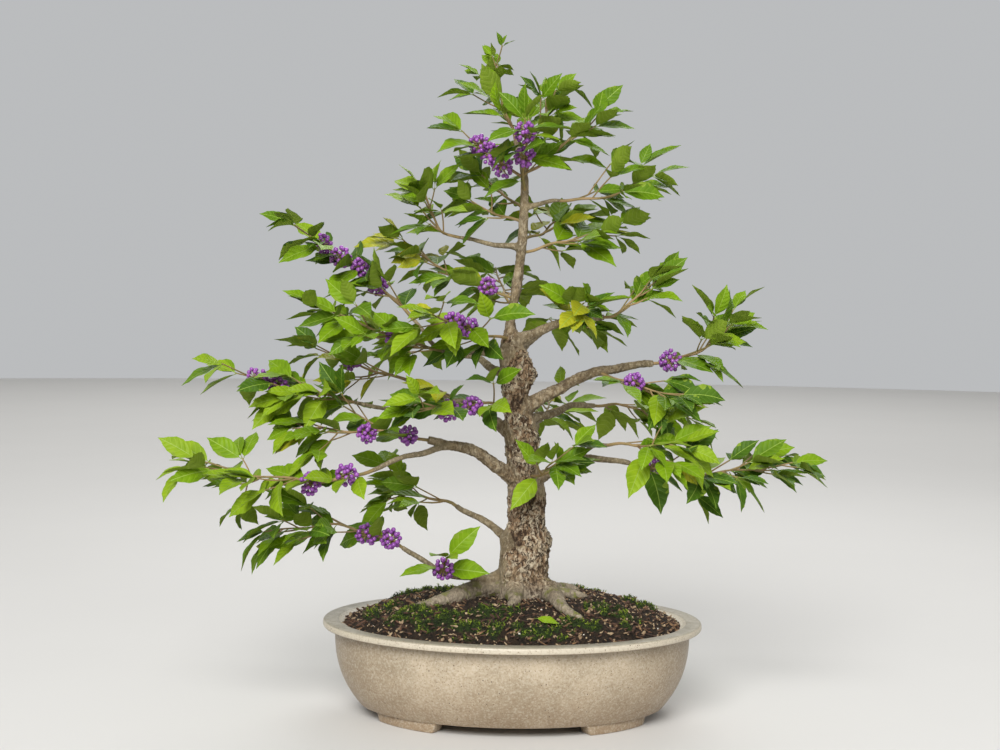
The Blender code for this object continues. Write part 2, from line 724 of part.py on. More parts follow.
def shoot_line(stem, spread, share, hand, draw):
    """A side shoot that leaves the stem on one hand, longer near the stem's middle."""
    start, heading = along(stem, share)
    sideways = turned(hand * across(heading), hand * heading, draw.uniform(*SHOOT_SWING))
    angle = math.radians(draw.uniform(*SHOOT_ANGLES) - SHOOT_CLOSING * share)
    first = unit(heading * math.cos(angle) + sideways * math.sin(angle))
    middle = SHOOT_MIDDLE * math.sin(math.pi * min(share + SHOOT_PEAK, 1.0))
    length = spread * (SHOOT_SHARE + middle) * draw.uniform(*SHOOT_SIZES)
    length = max(length - LEAF_LENGTH / 2, SHOOT_LEAST)
    end = start + unit(first + SHOOT_ONWARD * heading + vec(0, 0, SHOOT_UP)) * length
    return bent(start, start + first * length / 2, end, SHOOT_STEP)


def across(heading):
    """The level direction to the right of a heading."""
    return unit(np.cross(heading, vec(0, 0, 1)) + vec(1e-6, 0, 0))


def leaf_at(point, heading, hand, angle, draw, size):
    """A leaf that leaves a twig on one side and droops, with its face up and out from the trunk."""
    sideways = turned(hand * across(heading), hand * heading, draw.uniform(-LEAF_SWING, LEAF_SWING))
    turn = math.radians(angle + draw.uniform(-LEAF_ANGLE_SPREAD, LEAF_ANGLE_SPREAD))
    out = unit(heading * math.cos(turn) + sideways * math.sin(turn))
    out = unit(out - vec(0, 0, draw.uniform(*LEAF_DROOP)))
    outer = unit(vec(point[0] - TRUNK[0][1], point[1], 0))
    roll = vec(draw.uniform(-LEAF_ROLL, LEAF_ROLL), draw.uniform(-LEAF_ROLL, LEAF_ROLL), 0)
    face = vec(0, 0, 1) + outer * draw.uniform(*LEAF_OUTWARD) + roll
    face = unit(face - out * float(face @ out))
    return point, out, face, LEAF_LENGTH * size * draw.uniform(*LEAF_SIZES)


class Mass:
    """The twigs, leaves and fruit of one mass of foliage."""

    def __init__(self, name, lines):
        self.name = name
        self.spread, self.shoots, self.fruit_shares = MASSES[name][3:]
        self.stem = stem_line(lines, name)
        parent, where = MASSES[name][:2]
        buried = 0.0 if where == 1.0 else radius_at(lines, parent, where)
        self.first = (buried + FIRST_NODE) / length_of(self.stem)
        self.twigs = [(self.stem, list(np.linspace(STEM_RADIUS, TWIG_END, len(self.stem))))]
        self.leaves = []
        self.fruit = []

    def grow_stem(self, room):
        room.add(fat_twig(*self.twigs[0]), self.name)

    def grow_fruit(self, room):
        for number, share in enumerate(self.fruit_shares):
            draw = random.Random(f"{self.name} fruit {number}")
            aside, over = (draw.uniform(-FRUIT_ASIDE, FRUIT_ASIDE) for _ in range(2))
            centre = along(self.stem, share)[0] + vec(aside, draw.uniform(*FRUIT_FORWARD), over)
            radius = FRUIT_RADIUS * draw.uniform(*FRUIT_SIZES)
            shape = ball(centre, radius + CLEAR)
            if room.free(shape, self.name):
                room.add(shape, self.name)
                self.fruit.append((centre, radius))

    def claim(self, room, whole, past_foot):
        """Takes the room for a shape that is clear of other masses and, past its foot, of its own."""
        free = room.free(whole, self.name) and room.free(past_foot)
        if free:
            room.add(whole, self.name)
        return free

    def node_share(self, number):
        """Where along the stem a shoot and its leaf stand."""
        return self.first + (1 - self.first) * (number + 0.2) / (self.shoots + 0.1)

    def grow_shoots(self, room):
        for number in range(self.shoots):
            draw = random.Random(f"{self.name} shoot {number}")
            hand = 1 if number % 2 else -1
            for _attempt in range(SHOOT_TRIES):
                line = shoot_line(self.stem, self.spread, self.node_share(number), hand, draw)
                radii = list(np.linspace(TWIG_RADIUS, TWIG_END, len(line)))
                if self.claim(room, fat_twig(line, radii), fat_twig(line, radii, SHOOT_SKIP)):
                    self.twigs.append((line, radii))
                    break

    def grow_leaves(self, room):
        """A pair at every tip first, then a leaf across from each shoot."""
        for line, _radii in self.twigs:
            self.grow_pair(room, line, 1 - TIP / length_of(line), END_LEAF_ANGLE, 1.0)
        for number in range(self.shoots):
            hand = -1 if number % 2 else 1
            self.grow_pair(room, self.stem, self.node_share(number), LEAF_ANGLE, SIDE_LEAF_SIZE, (hand,))

    def grow_pair(self, room, line, share, angle, size, hands=(1, -1)):
        """Two leaves that stand opposite each other, or one of them."""
        point, heading = along(line, share)
        for hand in hands:
            draw = random.Random(f"{self.name} {point.round(1).tolist()} {hand}")
            for _attempt in range(LEAF_TRIES):
                leaf = leaf_at(point, heading, hand, angle, draw, size)
                if self.claim(room, leaf_shape(leaf, CLEAR), leaf_shape(leaf, CLEAR, LEAF_SKIP)):
                    self.leaves.append(leaf)
                    break


def grow_masses(lines):
    """All masses, grown in rounds so that each has its stem and shoots before leaves fill the room."""
    room = Room()
    path, radii = trunk_path()
    room.add(tube(path, radii + CLEAR, TRUNK_SIDES, trunk_shape(path, radii)), "trunk")
    for name in BOUGHS:
        room.add(bough_tube(lines[name], CLEAR), name)
    masses = [Mass(name, lines) for name in MASSES]
    for grow in (Mass.grow_stem, Mass.grow_fruit, Mass.grow_shoots, Mass.grow_leaves):
        for mass in masses:
            grow(mass, room)
    return masses


def clear_start(line, radius, tree):
    """Where a stem starts so that its blunt end is just clear of the limb that carries it."""
    total = length_of(line)
    for tenth in range(int(total * 10)):
        point, heading = along(line, tenth / 10 / total)
        side, up = frames(np.array([point, point + heading]))[0]
        angles = (0, math.tau / 3, -math.tau / 3)
        corners = [point + radius * (math.cos(a) * side + math.sin(a) * up) for a in angles]
        middles = [(corners[i] + corners[i - 1]) / 2 for i in range(3)]
        if min(distance_out(tree, place) for place in [point] + corners + middles) > GAP:
            return tenth / 10
    return 0.0


def distance_out(tree, point):
    """How far a point is outside a closed shape in millimetres, below zero inside it."""
    where, normal, _index, apart = tree.find_nearest(Vector(point * MM))
    return apart / MM if (Vector(point * MM) - where).dot(normal) > 0 else -apart / MM


def shortened(line, radii, start):
    """A path and its radii without the stretch before start."""
    marks = np.concatenate([[0.0], np.cumsum(np.linalg.norm(np.diff(line, axis=0), axis=1))])
    kept = marks > start + 1.0
    first = along(line, start / marks[-1])[0]
    return np.vstack([first, line[kept]]), [radii[0]] + [r for r, keep in zip(radii, kept) if keep]


def build_mass(mass, limb):
    """One mass in a single solid. Its parts are set a little otherwise where the union leaves a sliver."""
    tree = BVHTree.FromObject(limb, bpy.context.evaluated_depsgraph_get())
    line, radii = mass.twigs[0]
    stem = shortened(line, radii, clear_start(line, radii[0], tree))
    made = fused(mass, stem, LEAF_SINKS[0])
    for sink in LEAF_SINKS[1:]:
        if shortest_edge(made) > SLIVER:
            break
        other = fused(mass, stem, sink)
        if shortest_edge(other) > shortest_edge(made):
            made, other = other, made
        bpy.data.objects.remove(other, do_unlink=True)
    made.name = mass.name
    return made


def fused(mass, stem, sink):
    """The stem, shoots, leaves and fruit of a mass joined in one union."""
    made = add_mesh(mass.name, *tube(*stem, 3), "bark")
    parts = bpy.data.collections.new("parts")
    bpy.context.scene.collection.children.link(parts)
    for twig, thick in mass.twigs[1:]:
        full = [radius * (TWIG_FULL - TWIG_THINNING * sink) for radius in thick]
        add_mesh("twig", *tube(twig, full, 3), "bark", parts)
    for leaf in mass.leaves:
        add_mesh("leaf", *leaf_shape(leaf, 0.0, -sink), "leaf", parts)
    for centre, radius in mass.fruit:
        add_mesh("fruit", *ball(centre, radius - sink), "fruit", parts)
    join_all(made, parts)
    return made


def shortest_edge(obj):
    """The length of a mesh's shortest edge in millimetres."""
    places = np.array([vertex.co for vertex in obj.data.vertices])
    ends = np.array([edge.vertices[:] for edge in obj.data.edges])
    return float(np.linalg.norm(places[ends[:, 0]] - places[ends[:, 1]], axis=1).min()) / MM


def ball(centre, radius, sides=7, rings=2):
    """A low round ball that stands for one cluster of berries."""
    points = [centre + vec(0, 0, -radius)]
    for ring in range(1, rings + 1):
        tilt = math.pi * ring / (rings + 1)
        for corner in range(sides):
            turn = math.tau * (corner + 0.5 * ring) / sides
            flat = radius * math.sin(tilt)
            out = vec(flat * math.cos(turn), flat * math.sin(turn), -radius * math.cos(tilt))
            points.append(centre + out)
    points.append(centre + vec(0, 0, radius))
    top = len(points) - 1
    faces = [(0, 1 + (corner + 1) % sides, 1 + corner) for corner in range(sides)]
    for ring in range(rings - 1):
        low, high = 1 + ring * sides, 1 + (ring + 1) * sides
        for corner in range(sides):
            after = (corner + 1) % sides
            faces += [(low + corner, low + after, high + corner), (low + after, high + after, high + corner)]
    last = 1 + (rings - 1) * sides
    faces += [(last + corner, last + (corner + 1) % sides, top) for corner in range(sides)]
    return points, faces


def stand_at_origin():
    """Moves every mesh so that the middle of the whole tree's underside is the origin."""
    low = np.full(3, np.inf)
    high = np.full(3, -np.inf)
    for obj in bpy.data.objects:
        for vertex in obj.data.vertices:
            low = np.minimum(low, vertex.co)
            high = np.maximum(high, vertex.co)
    shift = Vector((-(low[0] + high[0]) / 2, -(low[1] + high[1]) / 2, -low[2]))
    for obj in bpy.data.objects:
        for vertex in obj.data.vertices:
            vertex.co += shift
        obj.data.update()


def build():
    clear_scene()
    build_pot()
    build_soil()
    lines = limb_lines()
    limbs = {"trunk": build_trunk()}
    limbs.update(build_boughs(lines))
    for mass in grow_masses(lines):
        build_mass(mass, limbs[MASSES[mass.name][0]])
    stand_at_origin()


build()
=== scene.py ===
"""Beautyberry bonsai: bark, twigs, leaves, berries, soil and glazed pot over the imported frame.

Sizes are in millimetres about the pot's centre, with X to the viewer's right, Y away from the viewer and Z
up from the floor. They are turned to metres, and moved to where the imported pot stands, when a mesh is made.
"""

import json
import math
import random

import bpy
import numpy as np
from mathutils import Matrix, Vector, noise
from mathutils.bvhtree import BVHTree
from mathutils.kdtree import KDTree

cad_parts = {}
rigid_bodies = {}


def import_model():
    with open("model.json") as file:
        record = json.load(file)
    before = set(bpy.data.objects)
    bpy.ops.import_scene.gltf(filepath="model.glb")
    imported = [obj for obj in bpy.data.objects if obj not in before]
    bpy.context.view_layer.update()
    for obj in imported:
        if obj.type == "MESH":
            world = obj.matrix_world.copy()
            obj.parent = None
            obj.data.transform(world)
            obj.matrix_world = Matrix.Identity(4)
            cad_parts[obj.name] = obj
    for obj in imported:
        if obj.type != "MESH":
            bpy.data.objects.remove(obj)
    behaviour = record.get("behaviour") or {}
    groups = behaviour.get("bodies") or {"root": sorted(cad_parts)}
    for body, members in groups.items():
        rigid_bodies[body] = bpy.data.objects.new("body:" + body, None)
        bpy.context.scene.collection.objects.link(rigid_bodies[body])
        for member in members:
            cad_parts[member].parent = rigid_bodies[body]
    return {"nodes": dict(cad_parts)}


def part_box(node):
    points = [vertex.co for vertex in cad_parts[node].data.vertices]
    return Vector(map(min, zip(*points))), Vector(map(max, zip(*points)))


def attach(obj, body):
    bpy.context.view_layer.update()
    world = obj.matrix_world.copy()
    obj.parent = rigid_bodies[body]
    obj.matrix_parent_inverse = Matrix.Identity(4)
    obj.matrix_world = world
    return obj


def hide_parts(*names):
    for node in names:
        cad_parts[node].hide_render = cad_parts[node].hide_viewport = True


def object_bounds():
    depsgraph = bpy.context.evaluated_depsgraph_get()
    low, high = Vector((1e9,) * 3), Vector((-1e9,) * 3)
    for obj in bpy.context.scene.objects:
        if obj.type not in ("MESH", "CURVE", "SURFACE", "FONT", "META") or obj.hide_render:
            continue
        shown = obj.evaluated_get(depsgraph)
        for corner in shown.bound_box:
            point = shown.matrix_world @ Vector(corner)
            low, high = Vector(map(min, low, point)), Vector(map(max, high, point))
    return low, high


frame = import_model()
cad_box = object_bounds()

MM = 0.001
POT_LOW, POT_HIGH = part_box("pot")
MIDDLE = np.array([(POT_LOW[0] + POT_HIGH[0]) / 2, (POT_LOW[1] + POT_HIGH[1]) / 2, 0.0])

# Pot: an oval bowl on four feet, measured across its rim. The feet run from a start to an end in degrees.
# The belly tucks in by a power, and its rings stand closer near its foot by another.
POT_WIDTH = 330.0
POT_DEPTH = 257.0
POT_HEIGHT = 82.0
POT_SIDES = 180
FOOT_HEIGHT = 9.0
FOOT_WIDTH = 15.0
FOOT_INSET = 38.0
FOOT_FRONT_INSET = 32.0
FOOT_START = 24.0
FOOT_END = 61.0
FOOT_TAPER = 2.5
FOOT_STEPS = 28
FOOT_SINK = 3.0
FOOT_BEVEL = 1.1
FOOT_EDGE_ANGLE = 40
RIM_HEIGHT = 6.6
RIM_TOP = 13.0
RIM_OVERHANG = 10.5
RIM_TO_WALL = 2.0
BELLY_TUCK = 22.0
BELLY_POWER = 2.6
BELLY_STEPS = 24
BELLY_SPACING = 1.6
BOWL_EDGE_ANGLE = 50
WALL = 8.0

# The rounded edge of the bowl's base: how far in from the belly's foot, and how far below it.
BASE_FALL = ((12.0, 1.0), (4.0, 0.6))

# The rolled lip: inset and rise of its underside. Its side is an arc with an inset, a rise and a radius, and
# its top one with an inset, a fall and a radius. The flat of the rim and its inner edge are told by how far
# past the flat's end and how far down they are, and the bowl's inner wall by depths under the rim.
LIP_UNDER = ((RIM_OVERHANG - 1.2, 0.2), (3.4, 0.3))
LIP_SIDE = (2.3, 2.6, 2.2)
LIP_TOP = (2.6, 2.4, 2.4)
RIM_FALL = ((-6.5, 0.25), (-0.6, 0.1), (0.5, 0.5), (1.2, 1.4))
BOWL_DEPTHS = (3.0, 12.0, 27.0)

# Soil: a mound that rises from just under the rim to a level place round the trunk's foot. An outer share
# of it smooths out, the rest has crumbs, and a least share of the bits lies even under moss.
SOIL_EDGE = 79.0
SOIL_TOP = 103.0
SOIL_LEVEL = 27.0
SOIL_POWER = 2.6
SOIL_HALVINGS = 20
SOIL_RINGS = 56
SOIL_SIDES = 200
SOIL_SINK = 0.8
SOIL_SKIRT = 8.0
SOIL_SMOOTH = 0.04
CRUMB_SIZE = 8.0
CRUMB_HEIGHT = 2.6
CRUMB_NOISE = (0.6, 2.2, 5)
BARE_LEAST = 0.12

# A chip about one across: corners round it, their heights, reach and scatter. A moss shoot about one tall:
# its leaflets, their turn and steps, and where each starts, how wide it is, and where its tip and back are.
CHIP_SIDES = 5
CHIP_LEVELS = (-0.22, 0.22)
CHIP_REACH = 0.46
CHIP_TURNS = (-0.25, 0.25)
CHIP_REACHES = (0.75, 1.15)
CHIP_RISES = (0.6, 1.3)
TUFT_LEAFLETS = 6
TUFT_TURN = 13
TUFT_STEP = 0.12
TUFT_STALK = 0.05
TUFT_HALF = 0.11
TUFT_TIP = (0.42, 0.38)
TUFT_BACK = 0.16

# Moss cushions on the soil: sideways, depth, and half their width both ways.
MOSS = (
    (-84, -52, 26, 13), (-60, -72, 22, 13), (-26, -92, 30, 10), (-14, -64, 22, 12), (22, -94, 28, 8),
    (54, -78, 16, 8), (84, -44, 24, 12), (-112, -22, 16, 14), (112, 14, 14, 20), (60, 66, 28, 16),
    (-20, 78, 26, 14), (-86, 50, 24, 18), (-50, 18, 16, 10), (36, 34, 14, 10), (96, -64, 12, 5),
)

# How high cushions stand and how wide their lumps are, both in mm. Moss is nearly full at a cushion's middle
# and ends just past half its width. Tufts start at an amount of moss and grow denser from there at a rate.
CUSHION_HEIGHT = 3.0
CUSHION_SIZE = 4.0
CUSHION_END = 1.25
CUSHION_COVER = 0.8
CUSHION_LOSS = 0.1
TURF_START = 0.2
TURF_RISE = 2

# What frays the edges of the cushions: size in mm, layer of the noise and strength.
MOSS_RAGS = ((9.0, 3.0, 2.4), (2.5, 5.0, 1.2))

# Trunk: height, sideways, depth and radius of its centre line, from the soil to the tip.
TRUNK = (
    (99, 9, 0, 25.6), (121, 8, 0, 21.6), (145, 10, 1, 19.6), (163, 11, 3, 15.4), (190, 12, 4, 16.4),
    (217, 7, 0, 13.2), (248, 4, -3, 13.8), (275, 0, -3, 10.2), (293, 1, -2, 12.4), (317, -3, 1, 11.6),
    (333, -5, 2, 5.6), (374, 0, 5, 4.4), (434, 5, 0, 3.8), (479, 3, -3, 2.8), (497, -3, -2, 2.2),
)
TRUNK_SIDES = 48
TRUNK_STEP = 3.0
FLUTES = 3
FLUTE_DEPTH = 0.05
FLUTE_TWIST = 23.0
TRUNK_STUB = 3.0

# Burls: height, direction round the trunk in degrees, and how far each stands out.
BURLS = ((153, 12, 5.0), (152, 170, 4.0), (295, 5, 3.6), (294, 185, 2.6), (123, 250, 3.0), (239, 330, 2.0))
BURL_TALL = 8.0
BURL_WIDE = 0.6

# Surface roots: direction in degrees, length, radius at the trunk and sideways bend.
ROOTS = (
    (200, 98, 12.5, -12), (256, 54, 10.5, -5), (306, 86, 10.0, 12), (348, 56, 8.0, -6),
    (32, 60, 8.0, -8), (84, 62, 8.5, 9), (142, 64, 8.5, -9),
)
ROOT_START = 6.0
ROOT_END = 2.2
ROOT_TAPER = 0.9
ROOT_SIDES = 20
ROOT_STEP = 4.0
ROOT_RISE = 0.45
ROOT_CLIMB = 11.0
ROOT_CLIMB_REACH = 34.0
ROOT_BENDS = 1.9
ROOT_BEND_SHARE = 0.6
ROOT_SWELL = 1.1

# Bark is full at a root's start and shallow from a share of its length on. On other wood its depth grows
# from a thin radius over a range of radii, and has a least share. Voxels join the limbs in steps of 1 mm.
ROOT_BARK = 0.3
ROOT_BARK_SHARE = 0.45
BARK_THIN = 1.5
BARK_RANGE = 9.0
BARK_LEAST = 0.12
BARK_VOXEL = 1.0

# Boughs: what carries it, the height on the trunk or share along a bough, its end, the height that its
# middle stands over a straight line, and its radius at both ends.
BOUGHS = {
    "low_left": ("trunk", 119, (-95, -35, 148), -13, 4.0, 2.0),
    "low_back": ("trunk", 145, (-51, 30, 176), 0, 4.2, 2.2),
    "left_main": ("trunk", 198, (-74, -25, 239), 7, 6.5, 3.4),
    "left_fork": ("left_main", 0.8, (-118, -70, 217), 2, 2.8, 1.9),
    "left_mid": ("trunk", 240, (-96, 10, 289), 5, 5.0, 2.4),
    "left_inner": ("left_mid", 0.6, (-139, -15, 270), -6, 2.4, 1.6),
    "left_up": ("trunk", 315, (-64, -30, 316), -2, 4.0, 2.2),
    "left_shoot": ("left_up", 0.85, (-88, -12, 341), -4, 2.1, 1.6),
    "left_crown": ("trunk", 405, (-50, 0, 413), 0, 2.6, 1.6),
    "right_low": ("trunk", 198, (99, -20, 221), 12, 4.4, 2.2),
    "right_fork": ("right_low", 0.5, (78, -50, 239), 3, 2.2, 1.6),
    "right_main": ("trunk", 262, (120, 10, 306), 10, 6.0, 3.0),
    "right_up": ("trunk", 322, (75, -15, 346), 5, 4.6, 2.4),
    "right_crown": ("trunk", 440, (36, 0, 446), 1, 2.2, 1.6),
    "back_low": ("trunk", 228, (24, 82, 250), 5, 4.6, 2.4),
    "back_right": ("trunk", 249, (72, 62, 265), 6, 4.2, 2.2),
    "back_left": ("trunk", 289, (-62, 66, 311), 5, 4.2, 2.2),
    "back_mid": ("trunk", 309, (34, 74, 337), 4, 4.0, 2.2),
}
BOUGH_SIDES = 18
BOUGH_STEP = 4.0
BOUGH_WAVE = 1.6
WAVE_LENGTH = 60.0

# A bough swells into a collar by this share of its radius where it leaves its limb, and over this distance.
COLLAR = 0.45
COLLAR_FADE = 5.0

# Masses: what carries it, where, the point that its furthest leaf reaches, how far its shoots spread,
# how many shoots it has, and the places of its fruit as shares of its stem.
MASSES = {
    "leaves_low_left": ("low_left", 1.0, (-238, -60, 169), 52, 4, (0.12, 0.28)),
    "leaves_low_inner": ("low_left", 0.62, (-54, -72, 158), 24, 2, (0.55,)),
    "leaves_low_back": ("low_back", 1.0, (-140, 66, 183), 44, 4, ()),
    "leaves_left_main": ("left_main", 1.0, (-216, -52, 253), 50, 4, (0.16, 0.5)),
    "leaves_left_fork": ("left_fork", 1.0, (-294, -80, 225), 54, 5, (0.16, 0.38)),
    "leaves_left_mid": ("left_mid", 1.0, (-204, 30, 323), 46, 5, (0.65,)),
    "leaves_left_inner": ("left_inner", 1.0, (-268, -26, 301), 50, 5, (0.7, 0.86)),
    "leaves_left_up": ("left_up", 1.0, (-186, -50, 359), 46, 5, (0.42,)),
    "leaves_left_shoot": ("left_shoot", 1.0, (-214, -24, 440), 46, 4, (0.35, 0.52, 0.68, 0.82)),
    "leaves_left_crown": ("left_crown", 1.0, (-104, -10, 473), 38, 4, ()),
    "leaves_left_shoulder": ("trunk", 361, (-132, 28, 420), 40, 3, (0.24,)),
    "leaves_left_high": ("trunk", 427, (-70, 34, 455), 30, 3, ()),
    "leaves_right_low": ("right_low", 1.0, (266, -30, 223), 48, 5, (0.12,)),
    "leaves_right_fork": ("right_fork", 1.0, (170, -66, 245), 44, 3, ()),
    "leaves_right_main": ("right_main", 1.0, (214, 0, 352), 46, 5, (0.24,)),
    "leaves_right_bend": ("right_main", 0.62, (160, -66, 274), 40, 4, (0.55,)),
    "leaves_right_up": ("right_up", 1.0, (138, -30, 395), 38, 3, ()),
    "leaves_right_inner": ("right_up", 0.6, (66, -66, 371), 32, 3, ()),
    "leaves_right_crown": ("right_crown", 1.0, (144, -10, 475), 38, 3, ()),
    "leaves_right_shoulder": ("trunk", 401, (118, 24, 435), 38, 3, ()),
    "leaves_apex_right": ("trunk", 469, (92, 0, 536), 34, 4, ()),
    "leaves_apex_left": ("trunk", 465, (-74, -8, 520), 34, 4, (0.34, 0.6, 0.82)),
    "leaves_apex_front": ("trunk", 453, (4, -66, 533), 30, 3, (0.55, 0.97)),
    "leaves_apex_side": ("trunk", 486, (46, 8, 566), 28, 3, ()),
    "leaves_leader": ("trunk", 1.0, (-32, 0, 597), 26, 4, ()),
    "leaves_front_low": ("trunk", 203, (40, -84, 233), 34, 3, ()),
    "leaves_front_mid": ("trunk", 325, (-88, -104, 352), 38, 4, (0.6, 0.78)),
    "leaves_front_left": ("trunk", 271, (-106, -98, 268), 38, 4, (0.5, 0.72)),
    "leaves_back_low": ("back_low", 1.0, (38, 196, 265), 48, 3, ()),
    "leaves_back_right": ("back_right", 1.0, (176, 116, 265), 46, 3, ()),
    "leaves_back_left": ("back_left", 1.0, (-150, 140, 325), 48, 3, ()),
    "leaves_back_mid": ("back_mid", 1.0, (84, 170, 353), 46, 3, ()),
    "leaves_back_heart": ("trunk", 353, (-24, 132, 399), 42, 3, ()),
    "leaves_back_crown": ("trunk", 411, (62, 96, 447), 36, 3, ()),
    "leaves_back_high": ("trunk", 439, (-50, 82, 487), 34, 3, ()),
    "leaves_apex_back": ("trunk", 475, (24, 58, 525), 28, 3, ()),
}

# A stem ends this share of a leaf short of the mass's reach. It bends by a share of its length, and
# where it leaves the side of a limb it keeps a share of the limb's slant.
REACH_LEAF = 46.0
STEM_RADIUS = 1.6
STEM_SHORT = 0.8
STEM_BEND = 0.45
STEM_SLANT = 0.3
STEM_WAVE = 2.0
FIRST_NODE = 9.0

# Shoots stand along a stem from its first node on, each a share of a step past it.
NODE_PAST = 0.2
NODE_STEPS = 0.1

# A shoot leaves its stem within a range of angles, less so further out, and swings round it. Its length is
# a share of the spread, more at the middle of the stem, less half a leaf. It bends on and up.
TWIG_RADIUS = 1.0
TWIG_END = 0.6
SHOOT_SKIP = 6.0
SHOOT_TRIES = 4
SHOOT_ANGLES = (42.0, 60.0)
SHOOT_CLOSING = 14.0
SHOOT_SWING = (-24.0, 48.0)
SHOOT_SHARE = 0.62
SHOOT_MIDDLE = 0.5
SHOOT_PEAK = 0.15
SHOOT_SIZES = (0.85, 1.12)
SHOOT_LEAST = 10.0
SHOOT_ONWARD = 0.25
SHOOT_UP = 0.12

# A cluster of fruit hangs a little in front of its stem.
FRUIT_RADIUS = 10.8
FRUIT_SIZES = (0.92, 1.06)
FRUIT_ASIDE = 2.0
FRUIT_FORWARD = (-4.0, -1.0)

# Side twigs on stems and shoots: along, aside and up as shares of their heading.
SIDE_TWIG = (16.0, 34.0)
SIDE_TWIG_GAP = 13.0
SIDE_TWIG_SHARE = 0.72
SIDE_TWIG_RADIUS = 0.7
SIDE_TWIG_SWING = (-50.0, 60.0)
SIDE_TWIG_HEADING = (0.75, 0.8, 0.15)
SIDE_TWIG_BEND = 1.5
SIDE_TWIG_ENDS = (6.0, 8.0)

# Stems and shoots grow on past the solids' tips. Lines have steps of one length.
TIP_GROWTH = 8.0
SHOOT_GROWTH = TIP_GROWTH * 0.6
LINE_STEP = 6.0

# Room: what a shape keeps clear of limbs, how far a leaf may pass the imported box, and how coarsely the
# trunk and the boughs are held.
CLEAR = 0.3
BOX_MARGIN = 4.0
TRUNK_ROOM_STEP = 10.0
TRUNK_ROOM_SIDES = 10
BOUGH_ROOM_SKIP = 3
BOUGH_ROOM_SIDES = 6

# A leaf leaves its twig at an angle, give or take, swung round the twig, and then droops. Its face looks
# up, outward from the trunk by a share, a little to the front, where the light is, and a little aside.
LEAF_ANGLE = 54.0
END_LEAF_ANGLE = 35.0
TIP_LEAF_ANGLE = 8.0
LEAF_ANGLE_SPREAD = 10.0
LEAF_SWING = 30.0
LEAF_DROOP = (-0.35, 0.5)
LEAF_OUTWARD = (0.1, 1.0)
LEAF_FRONTWARD = 0.45
LEAF_ROLL = 0.6

# Leaves at life size, in pairs along every twig, smaller at twig tips and towards the top of the tree.
LEAF_LENGTH = 41.0
LEAF_WIDTH = 0.42
LEAF_SIZES = (0.8, 1.14)
END_LEAF_SIZE = 0.92
TIP_LEAF_SIZE = 0.72
FRUIT_LEAF_SIZE = 1.05
LEAF_GAP = 20.0
LEAF_FIRST = LEAF_GAP * 0.6
LEAF_END = 2.0
LEAF_SKIP = 5.0
LEAF_TRIES = 9
TREE_TIP = 600.0
TIP_SHRINK = 75.0
LEAST_SIZE = 0.35
TAKEN_REACH = 5.0

# The room of a leaf is a kite: a share of its width, its sag, how far along it is widest, and how far its
# crest stands up and its keel hangs down there.
LEAF_ROOM = 0.75
LEAF_SAG = 0.12
LEAF_MIDDLE = 0.45
LEAF_CREST = 0.8
LEAF_KEEL = 1.2

# The one leaf that lies on the soil.
FALLEN_LEAF = (18.0, -84.0)
FALLEN_RISE = 4.5
FALLEN_LENGTH = 21.0
FALLEN_HEADING = (1.0, -0.25, 0.0)
FALLEN_FACE = (0.0, -0.6, 0.8)

# Tints, how many leaves in a hundred have each, and the share of twigs and leaves that keep the tint of
# what carries them.
TINTS = ("fresh", "mid", "pale", "deep", "yellow")
TINT_SHARES = (40, 26, 18, 13, 3)
TWIG_TINT_KEPT = 0.6
LEAF_TINT_KEPT = 0.75

# Leaf shapes: how each is folded, arched, twisted and rippled.
LEAF_SHAPES = (
    (0.22, 0.35, 0.15, 0.06), (0.12, 0.5, -0.25, 0.1), (0.32, 0.2, 0.3, -0.07),
    (0.18, 0.45, -0.5, -0.1), (0.26, 0.75, 0.4, 0.09),
)

# Shares of the leaf's length: half the rib's width, its rise, the keel's drop, the rise of a line along each
# half of the blade, and the stalk's ends and radius. The line lies at a share of the half's width. The
# stalk's corners and the ripples along the blade are in radians.
RIB_HALF = 0.007
RIB_RISE = 0.003
KEEL_DROP = 0.014
RAISED = 0.004
RAISED_SHARE = 0.52
STALK_ENDS = (-0.03, 0.14)
STALK_RADIUS = 0.009
STALK_TURNS = (0, 2.09, 4.19)
RIPPLES = 13.0
LEAF_RIM_ANGLE = 60.0

# The leaf's outline: share of its length, and of half its width. Every second point is a tooth.
LEAF_EDGE = (
    (0.10, 0.0), (0.16, 0.34), (0.24, 0.62), (0.32, 0.86), (0.40, 0.94), (0.48, 1.06), (0.56, 0.97),
    (0.64, 0.92), (0.72, 0.70), (0.80, 0.54), (0.88, 0.24), (0.94, 0.12), (1.0, 0.0),
)

# Berries: single fruits on the shell of each cluster, spaced on a spiral by the golden turn in radians. A
# berry is moved a little at random, and a few are missing. Its stalk is forked near the cluster's middle.
BERRY_RADIUS = 2.15
BERRY_SIZES = (0.82, 1.05)
BERRY_SIDES = 8
BERRY_RINGS = (-0.94, -0.6, 0.0, 0.58, 0.9)
BERRY_TIP = 0.88
BERRIES = 34
GOLDEN_TURN = 2.39996
BERRY_SCATTER = 0.16
BERRY_DEPTHS = (0.82, 1.0)
MISSING_SHARE = 0.08
FORK_SHARE = 0.25
FORK_SCATTER = 1.2
PEDICEL_RADIUS = 0.38
PEDICEL_FOOT = 1.3
PEDICEL_SINK = 0.6

